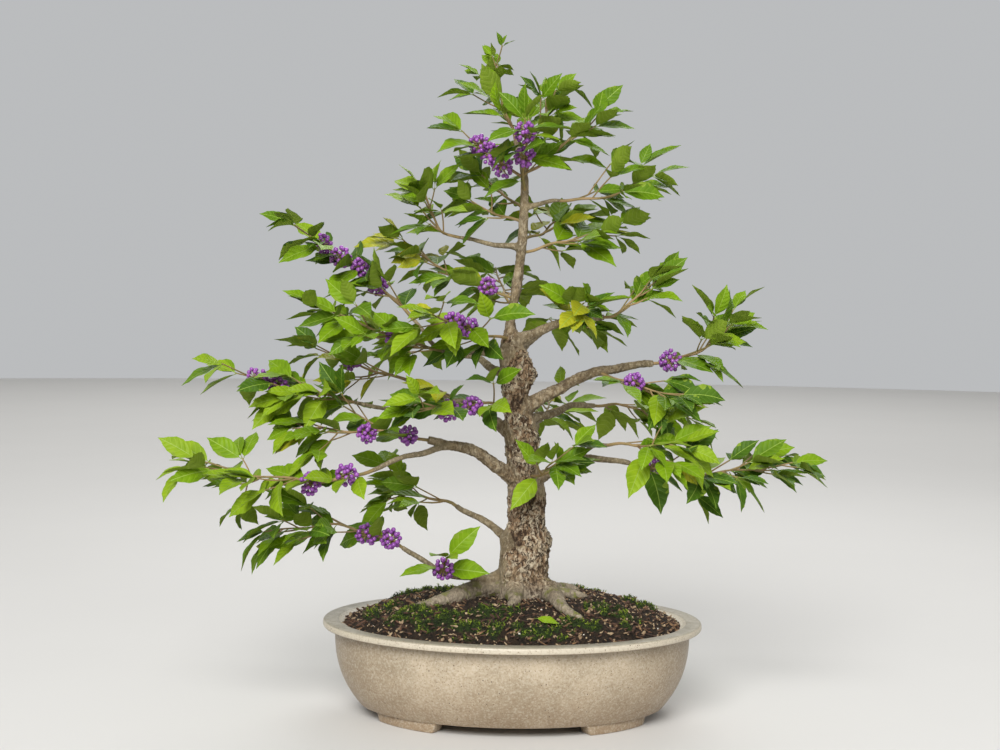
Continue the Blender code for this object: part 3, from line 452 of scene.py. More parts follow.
# Studio, in metres from the pot's middle on the floor: each light's place, what it faces, its width and its
# power in watts. The camera dips and rolls by degrees. The floor is measured in millimetres.
LIGHTS = (
    ("key_softbox", (-0.65, -3.1, 2.35), (0, 0, 0.3), 2.0, 172.0),
    ("fill_softbox", (1.15, -0.9, 0.7), (0, 0, 0.3), 1.0, 3.5),
    ("back_softbox", (0.3, 1.3, 1.5), (0, 0, 0.3), 1.0, 8.0),
    ("floor_softbox", (0.0, 3.6, 2.6), (0, 3.9, 0), 4.0, 56.0),
)
CAMERA_PLACE = (-0.0137, -1.465, 0.360)
CAMERA_SENSOR = 36.0
CAMERA_LENS = 60.8
CAMERA_DIP = 2.56
CAMERA_ROLL = 0.8
FLOOR_REACH = 6000.0
FLOOR_SIDES = 96


def linear(colour):
    """An sRGB hex colour as linear red, green, blue and alpha."""
    parts = [int(colour[start:start + 2], 16) / 255 for start in (1, 3, 5)]
    return (*[part / 12.92 if part <= 0.04045 else ((part + 0.055) / 1.055) ** 2.4 for part in parts], 1.0)


def feed(tree, node, links):
    """Puts values and links on a node's sockets. A whole node stands for its first output in use."""
    for key, value in links.items():
        if isinstance(value, bpy.types.Node):
            value = next(output for output in value.outputs if output.enabled)
        if isinstance(value, bpy.types.NodeSocket):
            tree.links.new(value, node.inputs[key])
        else:
            node.inputs[key].default_value = value


def add(tree, kind, links=None, **settings):
    """A node with its settings, fed with values and links."""
    node = tree.nodes.new(kind)
    for key, value in settings.items():
        setattr(node, key, value)
    feed(tree, node, links or {})
    return node


def vec(*numbers):
    return np.array(numbers, dtype=float)


def unit(way):
    return way / max(float(np.linalg.norm(way)), 1e-9)


def turned(way, axis, degrees):
    """A vector turned about an axis."""
    angle = math.radians(degrees)
    axis = unit(axis)
    side = np.cross(axis, way)
    return way * math.cos(angle) + side * math.sin(angle) + axis * float(axis @ way) * (1 - math.cos(angle))


def point_at(turn, across, deep, height):
    """The point at a turn in radians round a level oval."""
    return vec(across * math.cos(turn), deep * math.sin(turn), height)


def polar(degrees):
    return point_at(math.radians(degrees), 1, 1, 0)


def along(path, share):
    """The point and heading at a share of a path's length."""
    steps = np.linalg.norm(np.diff(path, axis=0), axis=1)
    marks = np.concatenate([[0.0], np.cumsum(steps)])
    place = share * marks[-1]
    index = min(int(np.searchsorted(marks, place, side="right")) - 1, len(steps) - 1)
    part = (place - marks[index]) / steps[index]
    return path[index] + (path[index + 1] - path[index]) * part, unit(path[index + 1] - path[index])


def marks_of(path):
    """How far along a path each of its points lies."""
    return np.concatenate([[0.0], np.cumsum(np.linalg.norm(np.diff(path, axis=0), axis=1))])


def length_of(path):
    return float(np.linalg.norm(np.diff(path, axis=0), axis=1).sum())


def bent(start, bend, end, step):
    """A smooth curve from start to end that is drawn towards bend."""
    span = np.linalg.norm(bend - start) + np.linalg.norm(end - bend)
    count = max(2, round(span / step))
    shares = np.linspace(0, 1, count + 1)[:, None]
    return (1 - shares) ** 2 * start + 2 * shares * (1 - shares) * bend + shares**2 * end


def waved(path, name, size):
    """A path with gentle bends of its own, still at both ends."""
    draw = random.Random(name)
    phases = [draw.uniform(0, math.tau) for _ in range(3)]
    shares = np.linspace(0, 1, len(path))
    envelope = np.sin(np.pi * shares) * size
    turns = length_of(path) / WAVE_LENGTH
    waves = [envelope * np.sin(math.tau * turns * shares + phase) for phase in phases]
    return path + np.stack(waves, axis=1)


def frames(path):
    """Two vectors across the path at each of its points, carried along without twist."""
    headings = np.gradient(path, axis=0)
    headings /= np.linalg.norm(headings, axis=1)[:, None]
    side = unit(np.cross(headings[0], vec(0, 0, 1) if abs(headings[0][2]) < 0.9 else vec(0, 1, 0)))
    pairs = []
    for heading in headings:
        side = unit(side - heading * float(side @ heading))
        pairs.append((side, np.cross(heading, side)))
    return pairs


def tube(path, radii, sides, shape=None):
    """Points and faces of a closed tube. shape(index, angle) scales its radius."""
    points = []
    for index, (centre, (side, down)) in enumerate(zip(path, frames(path))):
        for corner in range(sides):
            angle = math.pi / 2 + math.tau * corner / sides
            radius = radii[index] * (shape(index, angle) if shape else 1.0)
            points.append(centre + radius * (math.cos(angle) * side + math.sin(angle) * down))
    return closed(points, skin(len(path), sides))


def band(low, high, sides):
    """The faces between two rings of points. low and high are the numbers of their first points."""
    corners = [(corner, (corner + 1) % sides) for corner in range(sides)]
    return [(low + corner, low + after, high + after, high + corner) for corner, after in corners]


def skin(rings, sides):
    """Faces over rings of points of one size, with both ends closed."""
    faces = [tuple(range(sides))[::-1]]
    for ring in range(rings - 1):
        faces += band(ring * sides, (ring + 1) * sides, sides)
    faces.append(tuple((rings - 1) * sides + corner for corner in range(sides)))
    return faces


def capped(sides, rings, whole=False):
    """Faces of a shape that has a point at its foot, rings of points, and a point at its top. The quads
    between rings stay whole or are cut in two."""
    faces = [(0, 1 + (corner + 1) % sides, 1 + corner) for corner in range(sides)]
    for ring in range(rings - 1):
        for quad in band(1 + ring * sides, 1 + (ring + 1) * sides, sides):
            faces += [quad] if whole else [(quad[0], quad[1], quad[3]), quad[1:]]
    last = 1 + (rings - 1) * sides
    return faces + [(last + corner, last + (corner + 1) % sides, last + sides) for corner in range(sides)]


def closed(points, faces):
    """The points and faces of a closed shape, with its faces turned away from its inside."""
    volume = 0.0
    for face in faces:
        for second, third in zip(face[1:-1], face[2:]):
            volume += float(np.dot(points[face[0]], np.cross(points[second], points[third])))
    return points, faces if volume > 0 else [face[::-1] for face in faces]


def joined(shapes):
    """Several shapes' points and faces as one."""
    points = []
    faces = []
    for more, over in shapes:
        faces += [tuple(corner + len(points) for corner in face) for face in over]
        points += list(more)
    return points, faces


def add_piece(name, points, faces, look=None, edges=()):
    """A mesh object from points in millimetres about the pot's centre."""
    mesh = bpy.data.meshes.new(name)
    places = np.array(points, dtype=float).reshape(-1, 3) * MM + MIDDLE
    mesh.from_pydata(places.tolist(), list(edges), faces)
    if look:
        mesh.materials.append(look)
    obj = bpy.data.objects.new(name, mesh)
    bpy.context.scene.collection.objects.link(obj)
    return obj


def unit_piece(name, points, faces):
    """A mesh object of size one about its own origin, to be set on points in their size."""
    obj = add_piece(name, points, faces)
    obj.data.transform(Matrix.Translation(Vector(-MIDDLE)))
    obj.data.transform(Matrix.Scale(1 / MM, 4))
    return obj


def store(obj, name, kind, values, domain="POINT"):
    """Keeps one value for each point or face of a mesh."""
    layer = obj.data.attributes.new(name, kind, domain)
    flat = np.array(values).ravel()
    layer.data.foreach_set("value" if kind != "FLOAT_VECTOR" else "vector", flat)


def applied(obj, angle=None):
    """Replaces an object's mesh by what its modifiers make of it."""
    depsgraph = bpy.context.evaluated_depsgraph_get()
    mesh = bpy.data.meshes.new_from_object(obj.evaluated_get(depsgraph), depsgraph=depsgraph)
    obj.modifiers.clear()
    obj.data = mesh
    obj.data.shade_smooth()
    if angle:
        obj.data.set_sharp_from_angle(angle=math.radians(angle))
    return obj


def grown(obj, tree, values, angle=None):
    """Runs a node tree on an object with named inputs, and keeps the result as its plain mesh."""
    modifier = obj.modifiers.new(tree.name, "NODES")
    modifier.node_group = tree
    for item in tree.interface.items_tree:
        if item.in_out == "INPUT" and item.name in values:
            modifier[item.identifier] = values[item.name]
    return applied(obj, angle)


def new_tree(name, inputs):
    """An empty geometry tree with named inputs, its group input node and its output node."""
    tree = bpy.data.node_groups.new(name, "GeometryNodeTree")
    tree.interface.new_socket("Geometry", in_out="INPUT", socket_type="NodeSocketGeometry")
    for label, (kind, value) in inputs.items():
        socket = tree.interface.new_socket(label, in_out="INPUT", socket_type=kind)
        if value is not None:
            socket.default_value = value
    tree.interface.new_socket("Geometry", in_out="OUTPUT", socket_type="NodeSocketGeometry")
    return tree, add(tree, "NodeGroupInput").outputs, add(tree, "NodeGroupOutput")


def ended(tree, given, out, shape):
    """Ends a geometry tree with real geometry in the given material."""
    real = add(tree, "GeometryNodeRealizeInstances", {"Geometry": shape})
    look = add(tree, "GeometryNodeSetMaterial", {"Geometry": real, "Material": given["Material"]})
    feed(tree, out, {0: look})
    return tree


# Node trees

def twig_tree():
    """Round tubes along edges, as thick as each point says."""
    tree, given, out = new_tree("tubes along lines", {
        "Sides": ("NodeSocketInt", 6),
        "Thickness": ("NodeSocketFloat", 1.0),
        "Material": ("NodeSocketMaterial", None),
    })
    thick = add(tree, "GeometryNodeInputNamedAttribute", {"Name": "thick"}, data_type="FLOAT")
    size = add(tree, "ShaderNodeMath", {0: thick, 1: given["Thickness"]}, operation="MULTIPLY")
    curve = add(tree, "GeometryNodeMeshToCurve", {"Mesh": given["Geometry"]})
    ring = add(tree, "GeometryNodeCurvePrimitiveCircle", {"Resolution": given["Sides"], "Radius": 1.0})
    tubes = add(tree, "GeometryNodeCurveToMesh", {
        "Curve": curve, "Profile Curve": ring, "Scale": size, "Fill Caps": True,
    })
    return ended(tree, given, out, tubes)


def spray_tree():
    """Leaves set on points, each with its own turn, size and shape, and three finishes by region."""
    tree, given, out = new_tree("leaves on points", {
        "Shapes": ("NodeSocketCollection", None),
        "Size": ("NodeSocketFloat", 1.0),
        "Blade": ("NodeSocketMaterial", None),
        "Underside": ("NodeSocketMaterial", None),
        "Rib": ("NodeSocketMaterial", None),
    })
    turn, long, kind, region = (
        add(tree, "GeometryNodeInputNamedAttribute", {"Name": name}, data_type=sort)
        for name, sort in (("turn", "QUATERNION"), ("long", "FLOAT"), ("kind", "INT"), ("region", "INT"))
    )
    size = add(tree, "ShaderNodeMath", {0: long, 1: given["Size"]}, operation="MULTIPLY")
    shapes = add(tree, "GeometryNodeCollectionInfo", {
        "Collection": given["Shapes"], "Separate Children": True, "Reset Children": True,
    })
    points = add(tree, "GeometryNodeMeshToPoints", {"Mesh": given["Geometry"]})
    leaves = add(tree, "GeometryNodeInstanceOnPoints", {
        "Points": points, "Instance": shapes, "Pick Instance": True, "Instance Index": kind,
        "Rotation": turn, "Scale": size,
    })
    result = add(tree, "GeometryNodeRealizeInstances", {"Geometry": leaves})
    for number, label in enumerate(("Blade", "Underside", "Rib")):
        chosen = add(tree, "FunctionNodeCompare", {2: region, 3: number}, data_type="INT", operation="EQUAL")
        result = add(tree, "GeometryNodeSetMaterial", {
            "Geometry": result, "Selection": chosen, "Material": given[label],
        })
    feed(tree, out, {0: result})
    return tree


def bead_tree():
    """One small shape set on every point, in the point's own size and turn."""
    tree, given, out = new_tree("beads on points", {
        "Bead": ("NodeSocketObject", None),
        "Size": ("NodeSocketFloat", 1.0),
        "Material": ("NodeSocketMaterial", None),
    })
    turn = add(tree, "GeometryNodeInputNamedAttribute", {"Name": "turn"}, data_type="QUATERNION")
    long = add(tree, "GeometryNodeInputNamedAttribute", {"Name": "long"}, data_type="FLOAT")
    size = add(tree, "ShaderNodeMath", {0: long, 1: given["Size"]}, operation="MULTIPLY")
    bead = add(tree, "GeometryNodeObjectInfo", {"Object": given["Bead"]})
    points = add(tree, "GeometryNodeMeshToPoints", {"Mesh": given["Geometry"]})
    beads = add(tree, "GeometryNodeInstanceOnPoints", {
        "Points": points, "Instance": bead.outputs["Geometry"], "Rotation": turn, "Scale": size,
    })
    return ended(tree, given, out, beads)


def scatter_tree():
    """Bits strewn over a surface where its share attribute allows, turned at random and half sunk."""
    tree, given, out = new_tree("bits strewn on ground", {
        "Bit": ("NodeSocketObject", None),
        "Where": ("NodeSocketString", "bare"),
        "Per square metre": ("NodeSocketFloat", 10000.0),
        "Smallest": ("NodeSocketFloat", 0.001),
        "Largest": ("NodeSocketFloat", 0.003),
        "Tilt": ("NodeSocketFloat", 3.1),
        "Seed": ("NodeSocketInt", 1),
        "Material": ("NodeSocketMaterial", None),
    })
    where = add(tree, "GeometryNodeInputNamedAttribute", {"Name": given["Where"]}, data_type="FLOAT")
    dense = add(tree, "ShaderNodeMath", {0: where, 1: given["Per square metre"]}, operation="MULTIPLY")
    spots = add(tree, "GeometryNodeDistributePointsOnFaces", {
        "Mesh": given["Geometry"], "Density": dense, "Seed": given["Seed"],
    })
    less = add(tree, "ShaderNodeMath", {0: given["Tilt"], 1: -1.0}, operation="MULTIPLY")
    low = add(tree, "ShaderNodeCombineXYZ", {0: less, 1: less, 2: -3.14})
    high = add(tree, "ShaderNodeCombineXYZ", {0: given["Tilt"], 1: given["Tilt"], 2: 3.14})
    spin = add(tree, "FunctionNodeRandomValue", {
        0: low, 1: high, "Seed": given["Seed"],
    }, data_type="FLOAT_VECTOR")
    size = add(tree, "FunctionNodeRandomValue", {
        2: given["Smallest"], 3: given["Largest"], "Seed": given["Seed"],
    }, data_type="FLOAT")
    angle = add(tree, "FunctionNodeEulerToRotation", {0: spin})
    bit = add(tree, "GeometryNodeObjectInfo", {"Object": given["Bit"]})
    bits = add(tree, "GeometryNodeInstanceOnPoints", {
        "Points": spots, "Instance": bit.outputs["Geometry"], "Rotation": angle, "Scale": size,
    })
    return ended(tree, given, out, bits)


def bark_tree():
    """Bark relief: upright furrows, raised curling flakes, fine ridges and broad lumps, deeper on thick
    wood. Each row of the loop is one of them: its depth's name, how much it is drawn out upwards, its noise,
    and for a line how wide it is and which way it stands."""
    tree, given, out = new_tree("bark relief", {
        "Furrow depth": ("NodeSocketFloat", 0.0007),
        "Flake height": ("NodeSocketFloat", 0.0014),
        "Ridge depth": ("NodeSocketFloat", 0.0034),
        "Lump height": ("NodeSocketFloat", 0.0050),
        "Material": ("NodeSocketMaterial", None),
    })
    girth = add(tree, "GeometryNodeInputNamedAttribute", {"Name": "girth"}, data_type="FLOAT")
    place = add(tree, "GeometryNodeInputPosition")
    # Lines sway by up to 8 mm over about 11 mm, so that none runs straight.
    sway = add(tree, "ShaderNodeTexNoise", {"Vector": place, "Scale": 90.0, "Detail": 2.0})
    shift = add(tree, "ShaderNodeVectorMath", {0: sway.outputs["Color"], "Scale": 0.008}, operation="SCALE")
    moved = add(tree, "ShaderNodeVectorMath", {0: place, 1: shift}, operation="ADD")
    total = None
    # Real sizes: furrows about 10 mm apart, flakes curling along lines 7 mm apart, ridges 3 mm and lumps
    # 16 mm across.
    for depth, stretch, scale, detail, rift, stand in (
        ("Furrow depth", (1.0, 1.0, 0.4), 95.0, 1.0, 0.06, -1.0),
        ("Flake height", (1.0, 1.0, 0.8), 150.0, 2.0, 0.08, 1.0),
        ("Ridge depth", (1.0, 1.0, 0.7), 330.0, 3.0, 0.0, 0.0),
        ("Lump height", (1.0, 1.0, 0.8), 62.0, 1.0, 0.0, 0.0),
    ):
        drawn = add(tree, "ShaderNodeVectorMath", {0: moved, 1: stretch}, operation="MULTIPLY")
        cloud = add(tree, "ShaderNodeTexNoise", {"Vector": drawn, "Scale": scale, "Detail": detail})
        height = add(tree, "ShaderNodeMath", {0: cloud, 1: 0.5}, operation="SUBTRACT")
        if rift:
            near = add(tree, "ShaderNodeMath", {0: height}, operation="ABSOLUTE")
            fall = {0: near, 1: 0.0, 2: rift, 3: stand, 4: 0.0}
            height = add(tree, "ShaderNodeMapRange", fall, interpolation_type="SMOOTHSTEP")
        part = add(tree, "ShaderNodeMath", {0: height, 1: given[depth]}, operation="MULTIPLY")
        total = add(tree, "ShaderNodeMath", {0: total, 1: part}, operation="ADD") if total else part
    deep = add(tree, "ShaderNodeMath", {0: total, 1: girth}, operation="MULTIPLY")
    normal = add(tree, "GeometryNodeInputNormal")
    push = add(tree, "ShaderNodeVectorMath", {0: normal, "Scale": deep}, operation="SCALE")
    relief = add(tree, "ShaderNodeMapRange", {0: total, 1: -0.0018, 2: 0.0022})
    kept = add(tree, "GeometryNodeStoreNamedAttribute", {
        "Geometry": given["Geometry"], "Name": "relief", "Value": relief,
    }, data_type="FLOAT", domain="POINT")
    pushed = add(tree, "GeometryNodeSetPosition", {"Geometry": kept, "Offset": push})
    return ended(tree, given, out, pushed)


# Finishes

def new_finish(name, **constants):
    """A Principled material with its constant values, its node tree, its shader, and the place in metres
    that its patterns follow."""
    made = bpy.data.materials.new(name)
    made.use_nodes = True
    tree = made.node_tree
    shader = tree.nodes["Principled BSDF"]
    for label, value in constants.items():
        shader.inputs[label.replace("_", " ")].default_value = value
    return made, tree, shader, add(tree, "ShaderNodeTexCoord").outputs["Object"]


def layered(tree, base, rows):
    """A colour with others laid over it. A row is what a layer follows, the two values that it fades
    between, how strong it is at both, what holds it back, and its colour."""
    for source, low, high, start, end, hold, colour in rows:
        amount = add(tree, "ShaderNodeMapRange", {0: source, 1: low, 2: high, 3: start, 4: end})
        if hold:
            amount = add(tree, "ShaderNodeMath", {0: amount, 1: hold}, operation="MULTIPLY")
        base = add(tree, "ShaderNodeMix", {0: amount, 6: base, 7: linear(colour)}, data_type="RGBA")
    return base


def stoneware_glaze():
    """Satin feldspar glaze on stoneware: warm cream, clouded with grey, thinner and browner low down, with
    painted shade that browns both ends and a painted shadow under the lip, iron specks burnt through it and a
    soft, slightly rippled shine."""
    made, tree, shader, place = new_finish(
        "cream satin glaze on stoneware", IOR=1.5, Coat_Weight=0.12, Coat_Roughness=0.3,
    )
    centred = add(tree, "ShaderNodeMapping", {"Vector": place, "Location": tuple(-MIDDLE)})
    across, _deep, height = add(tree, "ShaderNodeSeparateXYZ", {0: centred}).outputs
    # Clouds are about 38 mm across, the fired grain 2 mm and stains 17 mm.
    cloud, grain, stain = (
        add(tree, "ShaderNodeTexNoise", {
            "Vector": place, "Scale": scale, "Detail": detail, "Roughness": rough,
        })
        for scale, detail, rough in ((26.0, 5.0, 0.6), (520.0, 4.0, 0.7), (60.0, 5.0, 0.7))
    )
    span = add(tree, "ShaderNodeMath", {0: across}, operation="ABSOLUTE")
    # A thin band just under the lip, where its painted shadow goes.
    corner = add(tree, "ShaderNodeMath", {0: height, 1: 0.0757, 2: 0.0008}, operation="COMPARE")
    # Grey clouds, painted shade that browns both ends, a browner foot, and a paler lip. Then the grain,
    # paler where the glaze lies thick and browner where it has crawled. The flat of the rim holds water
    # and soil, and has weathered grey green. A dark brown band in the corner under the overhanging lip is
    # a painted shadow.
    body = layered(tree, linear("#BFAF96"), (
        (cloud, 0.36, 0.64, 0.0, 1.0, None, "#A4957D"),
        # Painted shade: browner towards both ends, where the pot's sides turn away from the light.
        (span, 0.085, 0.160, 0.0, 0.75, None, "#7F6B50"),
        (height, 0.004, 0.060, 1.2, 0.0, stain, "#8B7052"),
        (height, 0.0762, 0.0772, 0.0, 0.75, None, "#CCC3AF"),
        (grain, 0.50, 0.62, 0.0, 0.4, None, "#CFC6B4"),
        (grain, 0.36, 0.47, 0.38, 0.0, None, "#7E6648"),
        (height, 0.0809, 0.0817, 0.0, 1.15, stain, "#6B644F"),
        # Painted shadow under the overhanging lip.
        (corner, 0.0, 1.0, 0.0, 0.8, None, "#5E4730"),
    ))
    # Iron specks up to 1.2 mm across in cells of 3.4 mm, and paler ones up to 1 mm in cells of 1.6 mm. A
    # speck is the middle of its cell, and only about half of the cells have one.
    for size, share, colour in ((0.0034, 0.17, "#54402C"), (0.0016, 0.3, "#80694B")):
        cells = add(tree, "ShaderNodeTexVoronoi", {"Vector": place, "Scale": 1 / size})
        tint = add(tree, "ShaderNodeSeparateColor", {0: cells.outputs["Color"]})
        reach = add(tree, "ShaderNodeMapRange", {0: tint, 1: 0.45, 2: 1.0, 3: 0.0, 4: share})
        speck = add(tree, "ShaderNodeMath", {0: cells.outputs["Distance"], 1: reach}, operation="LESS_THAN")
        body = add(tree, "ShaderNodeMix", {0: speck, 6: body, 7: linear(colour)}, data_type="RGBA")
    rough = add(tree, "ShaderNodeMapRange", {0: stain, 1: 0.3, 2: 0.7, 3: 0.36, 4: 0.55})
    ripple = add(tree, "ShaderNodeBump", {"Height": stain, "Distance": 0.0005, "Strength": 0.6})
    feed(tree, shader, {"Base Color": body, "Roughness": rough, "Normal": ripple})
    return made


def mature_bark():
    """Old beautyberry bark: rough corky tan with pale grey skin on the ridges, dark brown in furrows and
    cracks, greyer on roots, and smoother and a little greener on the younger wood above. Quite matt."""
    made, tree, shader, place = new_finish("corky bark", IOR=1.4)
    height = add(tree, "ShaderNodeSeparateXYZ", {0: place}).outputs[2]
    relief = add(tree, "ShaderNodeAttribute", attribute_name="relief").outputs["Fac"]
    girth = add(tree, "ShaderNodeAttribute", attribute_name="girth").outputs["Fac"]
    tall = add(tree, "ShaderNodeMapping", {"Vector": place, "Scale": (1.0, 1.0, 0.6)})
    # Colours drift over about 11 mm, and specks and hair cracks are about 2 mm apart, drawn out upwards.
    cloud, fine = (
        add(tree, "ShaderNodeTexNoise", {
            "Vector": where, "Scale": scale, "Detail": 5.0, "Roughness": rough,
        })
        for where, scale, rough in ((place, 90.0, 0.65), (tall, 420.0, 0.7))
    )
    old, young = (
        layered(tree, linear(light), ((cloud, 0.38, 0.62, 0.0, 1.0, None, dark),))
        for light, dark in (("#9C7F60", "#6E5640"), ("#8E8163", "#6E634B"))
    )
    wood = add(tree, "ShaderNodeMix", {0: girth, 6: young, 7: old}, data_type="RGBA")
    # Thin dark rifts run round the corky flakes, about 4 mm apart.
    winding = {"Vector": tall, "Scale": 230.0, "Detail": 3.0, "Distortion": 0.6}
    rims = add(tree, "ShaderNodeTexNoise", winding)
    offset = add(tree, "ShaderNodeMath", {0: rims, 1: 0.5}, operation="SUBTRACT")
    aside = add(tree, "ShaderNodeMath", {0: offset}, operation="ABSOLUTE")
    shut = add(tree, "ShaderNodeMapRange", {0: aside, 1: 0.012, 2: 0.045, 3: 1.0, 4: 0.0})
    rift = add(tree, "ShaderNodeMath", {0: shut, 1: girth}, operation="MULTIPLY")
    foot = add(tree, "ShaderNodeMapRange", {0: height, 1: 0.104, 2: 0.130, 3: 1.0, 4: 0.0})
    # Roots lie bare and weather grey, skin is pale in specks and where it stands out, hair cracks and sunken
    # places are dark, and then come the rifts. A little moss creeps up the trunk's foot.
    wood = layered(tree, wood, (
        (height, 0.108, 0.120, 0.7, 0.0, None, "#9B8F7E"),
        (fine, 0.52, 0.62, 0.0, 0.5, None, "#BFB196"),
        (relief, 0.50, 0.80, 0.0, 0.7, girth, "#CFC2A8"),
        (fine, 0.40, 0.46, 0.8, 0.0, girth, "#442F1E"),
        (relief, 0.12, 0.42, 0.8, 0.0, girth, "#2E2218"),
        (rift, 0.0, 1.0, 0.0, 1.0, None, "#392819"),
        (cloud, 0.53, 0.60, 0.0, 0.85, foot, "#73762F"),
    ))
    rough = add(tree, "ShaderNodeMapRange", {0: fine, 1: 0.3, 2: 0.7, 3: 0.7, 4: 0.92})
    cut = add(tree, "ShaderNodeMath", {0: rift, 1: -0.5, 2: fine}, operation="MULTIPLY_ADD")
    flakes = add(tree, "ShaderNodeBump", {"Height": cut, "Distance": 0.0014})
    feed(tree, shader, {"Base Color": wood, "Roughness": rough, "Normal": flakes})
    return made


def plain_growth(name, colours, size, rough=(0.5, 0.7), depth=0.0002, **constants):
    """A natural surface that drifts between two near colours in patches of one size in metres."""
    made, tree, shader, place = new_finish(name, **constants)
    cloud = add(tree, "ShaderNodeTexNoise", {"Vector": place, "Scale": 1 / size, "Detail": 3.0})
    colour = layered(tree, linear(colours[0]), ((cloud, 0.35, 0.65, 0.0, 1.0, None, colours[1]),))
    dull = add(tree, "ShaderNodeMapRange", {0: cloud, 1: 0.3, 2: 0.7, 3: rough[0], 4: rough[1]})
    relief = add(tree, "ShaderNodeBump", {"Height": cloud, "Distance": depth, "Strength": 0.6})
    feed(tree, shader, {"Base Color": colour, "Roughness": dull, "Normal": relief})
    return made


def leaf_skin(name, colours, rough, depth, shine=0.22):
    """Beautyberry leaf: thin and quilted between pairs of side veins that run forward to the teeth. The
    veins are sunk and paler, and the skin between them swells, with a soft silky shine."""
    made, tree, shader, place = new_finish(name, IOR=1.42, Specular_IOR_Level=shine)
    # The greens drift in patches about 9 mm across.
    cloud = add(tree, "ShaderNodeTexNoise", {"Vector": place, "Scale": 110.0, "Detail": 3.0})
    flat = add(tree, "ShaderNodeAttribute", attribute_name="flat").outputs["Vector"]
    axes = add(tree, "ShaderNodeSeparateXYZ", {0: flat}).outputs
    aside = add(tree, "ShaderNodeMath", {0: axes[1]}, operation="ABSOLUTE")
    lean = add(tree, "ShaderNodeMath", {0: aside, 1: -2.2, 2: -0.5}, operation="MULTIPLY_ADD")
    slant = add(tree, "ShaderNodeMath", {0: aside, 1: lean, 2: axes[0]}, operation="MULTIPLY_ADD")
    # Seven side veins on each half of the blade, about 5 mm apart, curve forward to its edge.
    steps = add(tree, "ShaderNodeMath", {0: slant, 1: 7.5}, operation="MULTIPLY")
    swell = add(tree, "ShaderNodeMath", {0: steps, 1: 0.5}, operation="PINGPONG")
    green = layered(tree, linear(colours[0]), (
        (cloud, 0.35, 0.65, 0.0, 1.0, None, colours[1]),
        (swell, 0.02, 0.09, 0.35, 0.0, None, colours[2]),
    ))
    dull = add(tree, "ShaderNodeMapRange", {0: cloud, 1: 0.3, 2: 0.7, 3: rough[0], 4: rough[1]})
    quilt = add(tree, "ShaderNodeBump", {"Height": swell, "Distance": depth})
    feed(tree, shader, {"Base Color": green, "Roughness": dull, "Normal": quilt})
    return made


# Pot and soil

def oval(inset, height):
    """A ring of points on the pot's oval, drawn in from the rim's outer edge."""
    across = POT_WIDTH / 2 - inset
    deep = POT_DEPTH / 2 - inset
    return [point_at(math.tau * corner / POT_SIDES, across, deep, height) for corner in range(POT_SIDES)]


def belly_inset(height):
    """How far the bowl's outer wall stands in from the rim at a height."""
    top = POT_HEIGHT - RIM_HEIGHT
    share = min(max((height - FOOT_HEIGHT) / (top - FOOT_HEIGHT), 0.0), 1.0)
    return RIM_OVERHANG + BELLY_TUCK * (1 - share) ** BELLY_POWER


def inner_inset(height):
    """How far the bowl's inner wall stands in from the rim at a height."""
    return max(belly_inset(height) + WALL, RIM_TOP + RIM_TO_WALL)


def arc(centre, radius, start, end, steps):
    """Inset and height at steps round part of a circle, degrees from straight out."""
    turns = [math.radians(start + (end - start) * step / steps) for step in range(steps + 1)]
    return [(centre[0] - radius * math.cos(turn), centre[1] + radius * math.sin(turn)) for turn in turns]


def build_pot(glaze):
    """The thrown bowl with its rolled rim, and its four curved feet."""
    under_rim = POT_HEIGHT - RIM_HEIGHT
    profile = [(belly_inset(FOOT_HEIGHT) + inward, FOOT_HEIGHT - fall) for inward, fall in BASE_FALL]
    for step in range(BELLY_STEPS + 1):
        height = FOOT_HEIGHT + (under_rim - FOOT_HEIGHT) * (step / BELLY_STEPS) ** BELLY_SPACING
        profile.append((belly_inset(height), height))
    profile += [(inset, under_rim + rise) for inset, rise in LIP_UNDER]
    side, rise, radius = LIP_SIDE
    profile += arc((side, under_rim + rise), radius, -70, -10, 4)
    side, fall, radius = LIP_TOP
    profile += arc((side, POT_HEIGHT - fall), radius, 5, 88, 6)
    profile += [(RIM_TOP + past, POT_HEIGHT - fall) for past, fall in RIM_FALL]
    profile += [(inner_inset(POT_HEIGHT - depth), POT_HEIGHT - depth) for depth in BOWL_DEPTHS]
    rings = [oval(*place) for place in profile]
    points = [point for ring in rings for point in ring]
    bowl = add_piece("pot_bowl", points, skin(len(rings), POT_SIDES), glaze)
    feet = [foot_shape(quarter) for quarter in range(4)]
    stand = add_piece("pot_feet", *joined(feet), glaze)
    bevel = stand.modifiers.new("soft edges", "BEVEL")
    bevel.width = FOOT_BEVEL * MM
    bevel.segments = 3
    return applied(bowl, BOWL_EDGE_ANGLE), applied(stand, FOOT_EDGE_ANGLE)


def foot_shape(quarter):
    """One foot: a slab that follows the oval, narrower at the floor."""
    start, end = (FOOT_START, FOOT_END) if quarter % 2 == 0 else (180 - FOOT_END, 180 - FOOT_START)
    if quarter >= 2:
        start, end = start + 180, end + 180
    rings = []
    for height, taper in ((0.0, FOOT_TAPER), (FOOT_HEIGHT + FOOT_SINK, 0.0)):
        across = POT_WIDTH / 2 - FOOT_INSET - taper / 2
        deep = POT_DEPTH / 2 - FOOT_FRONT_INSET - taper / 2
        width = FOOT_WIDTH - taper
        outer = []
        inner = []
        for step in range(FOOT_STEPS + 1):
            angle = math.radians(start + taper + (end - start - 2 * taper) * step / FOOT_STEPS)
            outer.append(point_at(angle, across, deep, height))
            inner.append(point_at(angle, across - width, deep - width, height))
        rings.append(outer + inner[::-1])
    return rings[0] + rings[1], skin(2, len(rings[0]))


def mound_ring(least, share):
    """A ring of the mound, at a share of the way from a least reach to the pot's wall: how far it reaches
    sideways and in depth, and how far its middle is shifted towards the trunk."""
    walls = (POT_WIDTH / 2 - inner_inset(SOIL_EDGE), POT_DEPTH / 2 - inner_inset(SOIL_EDGE))
    return *(least + (wall - least) * share for wall in walls), (1 - share) * TRUNK[0][1]


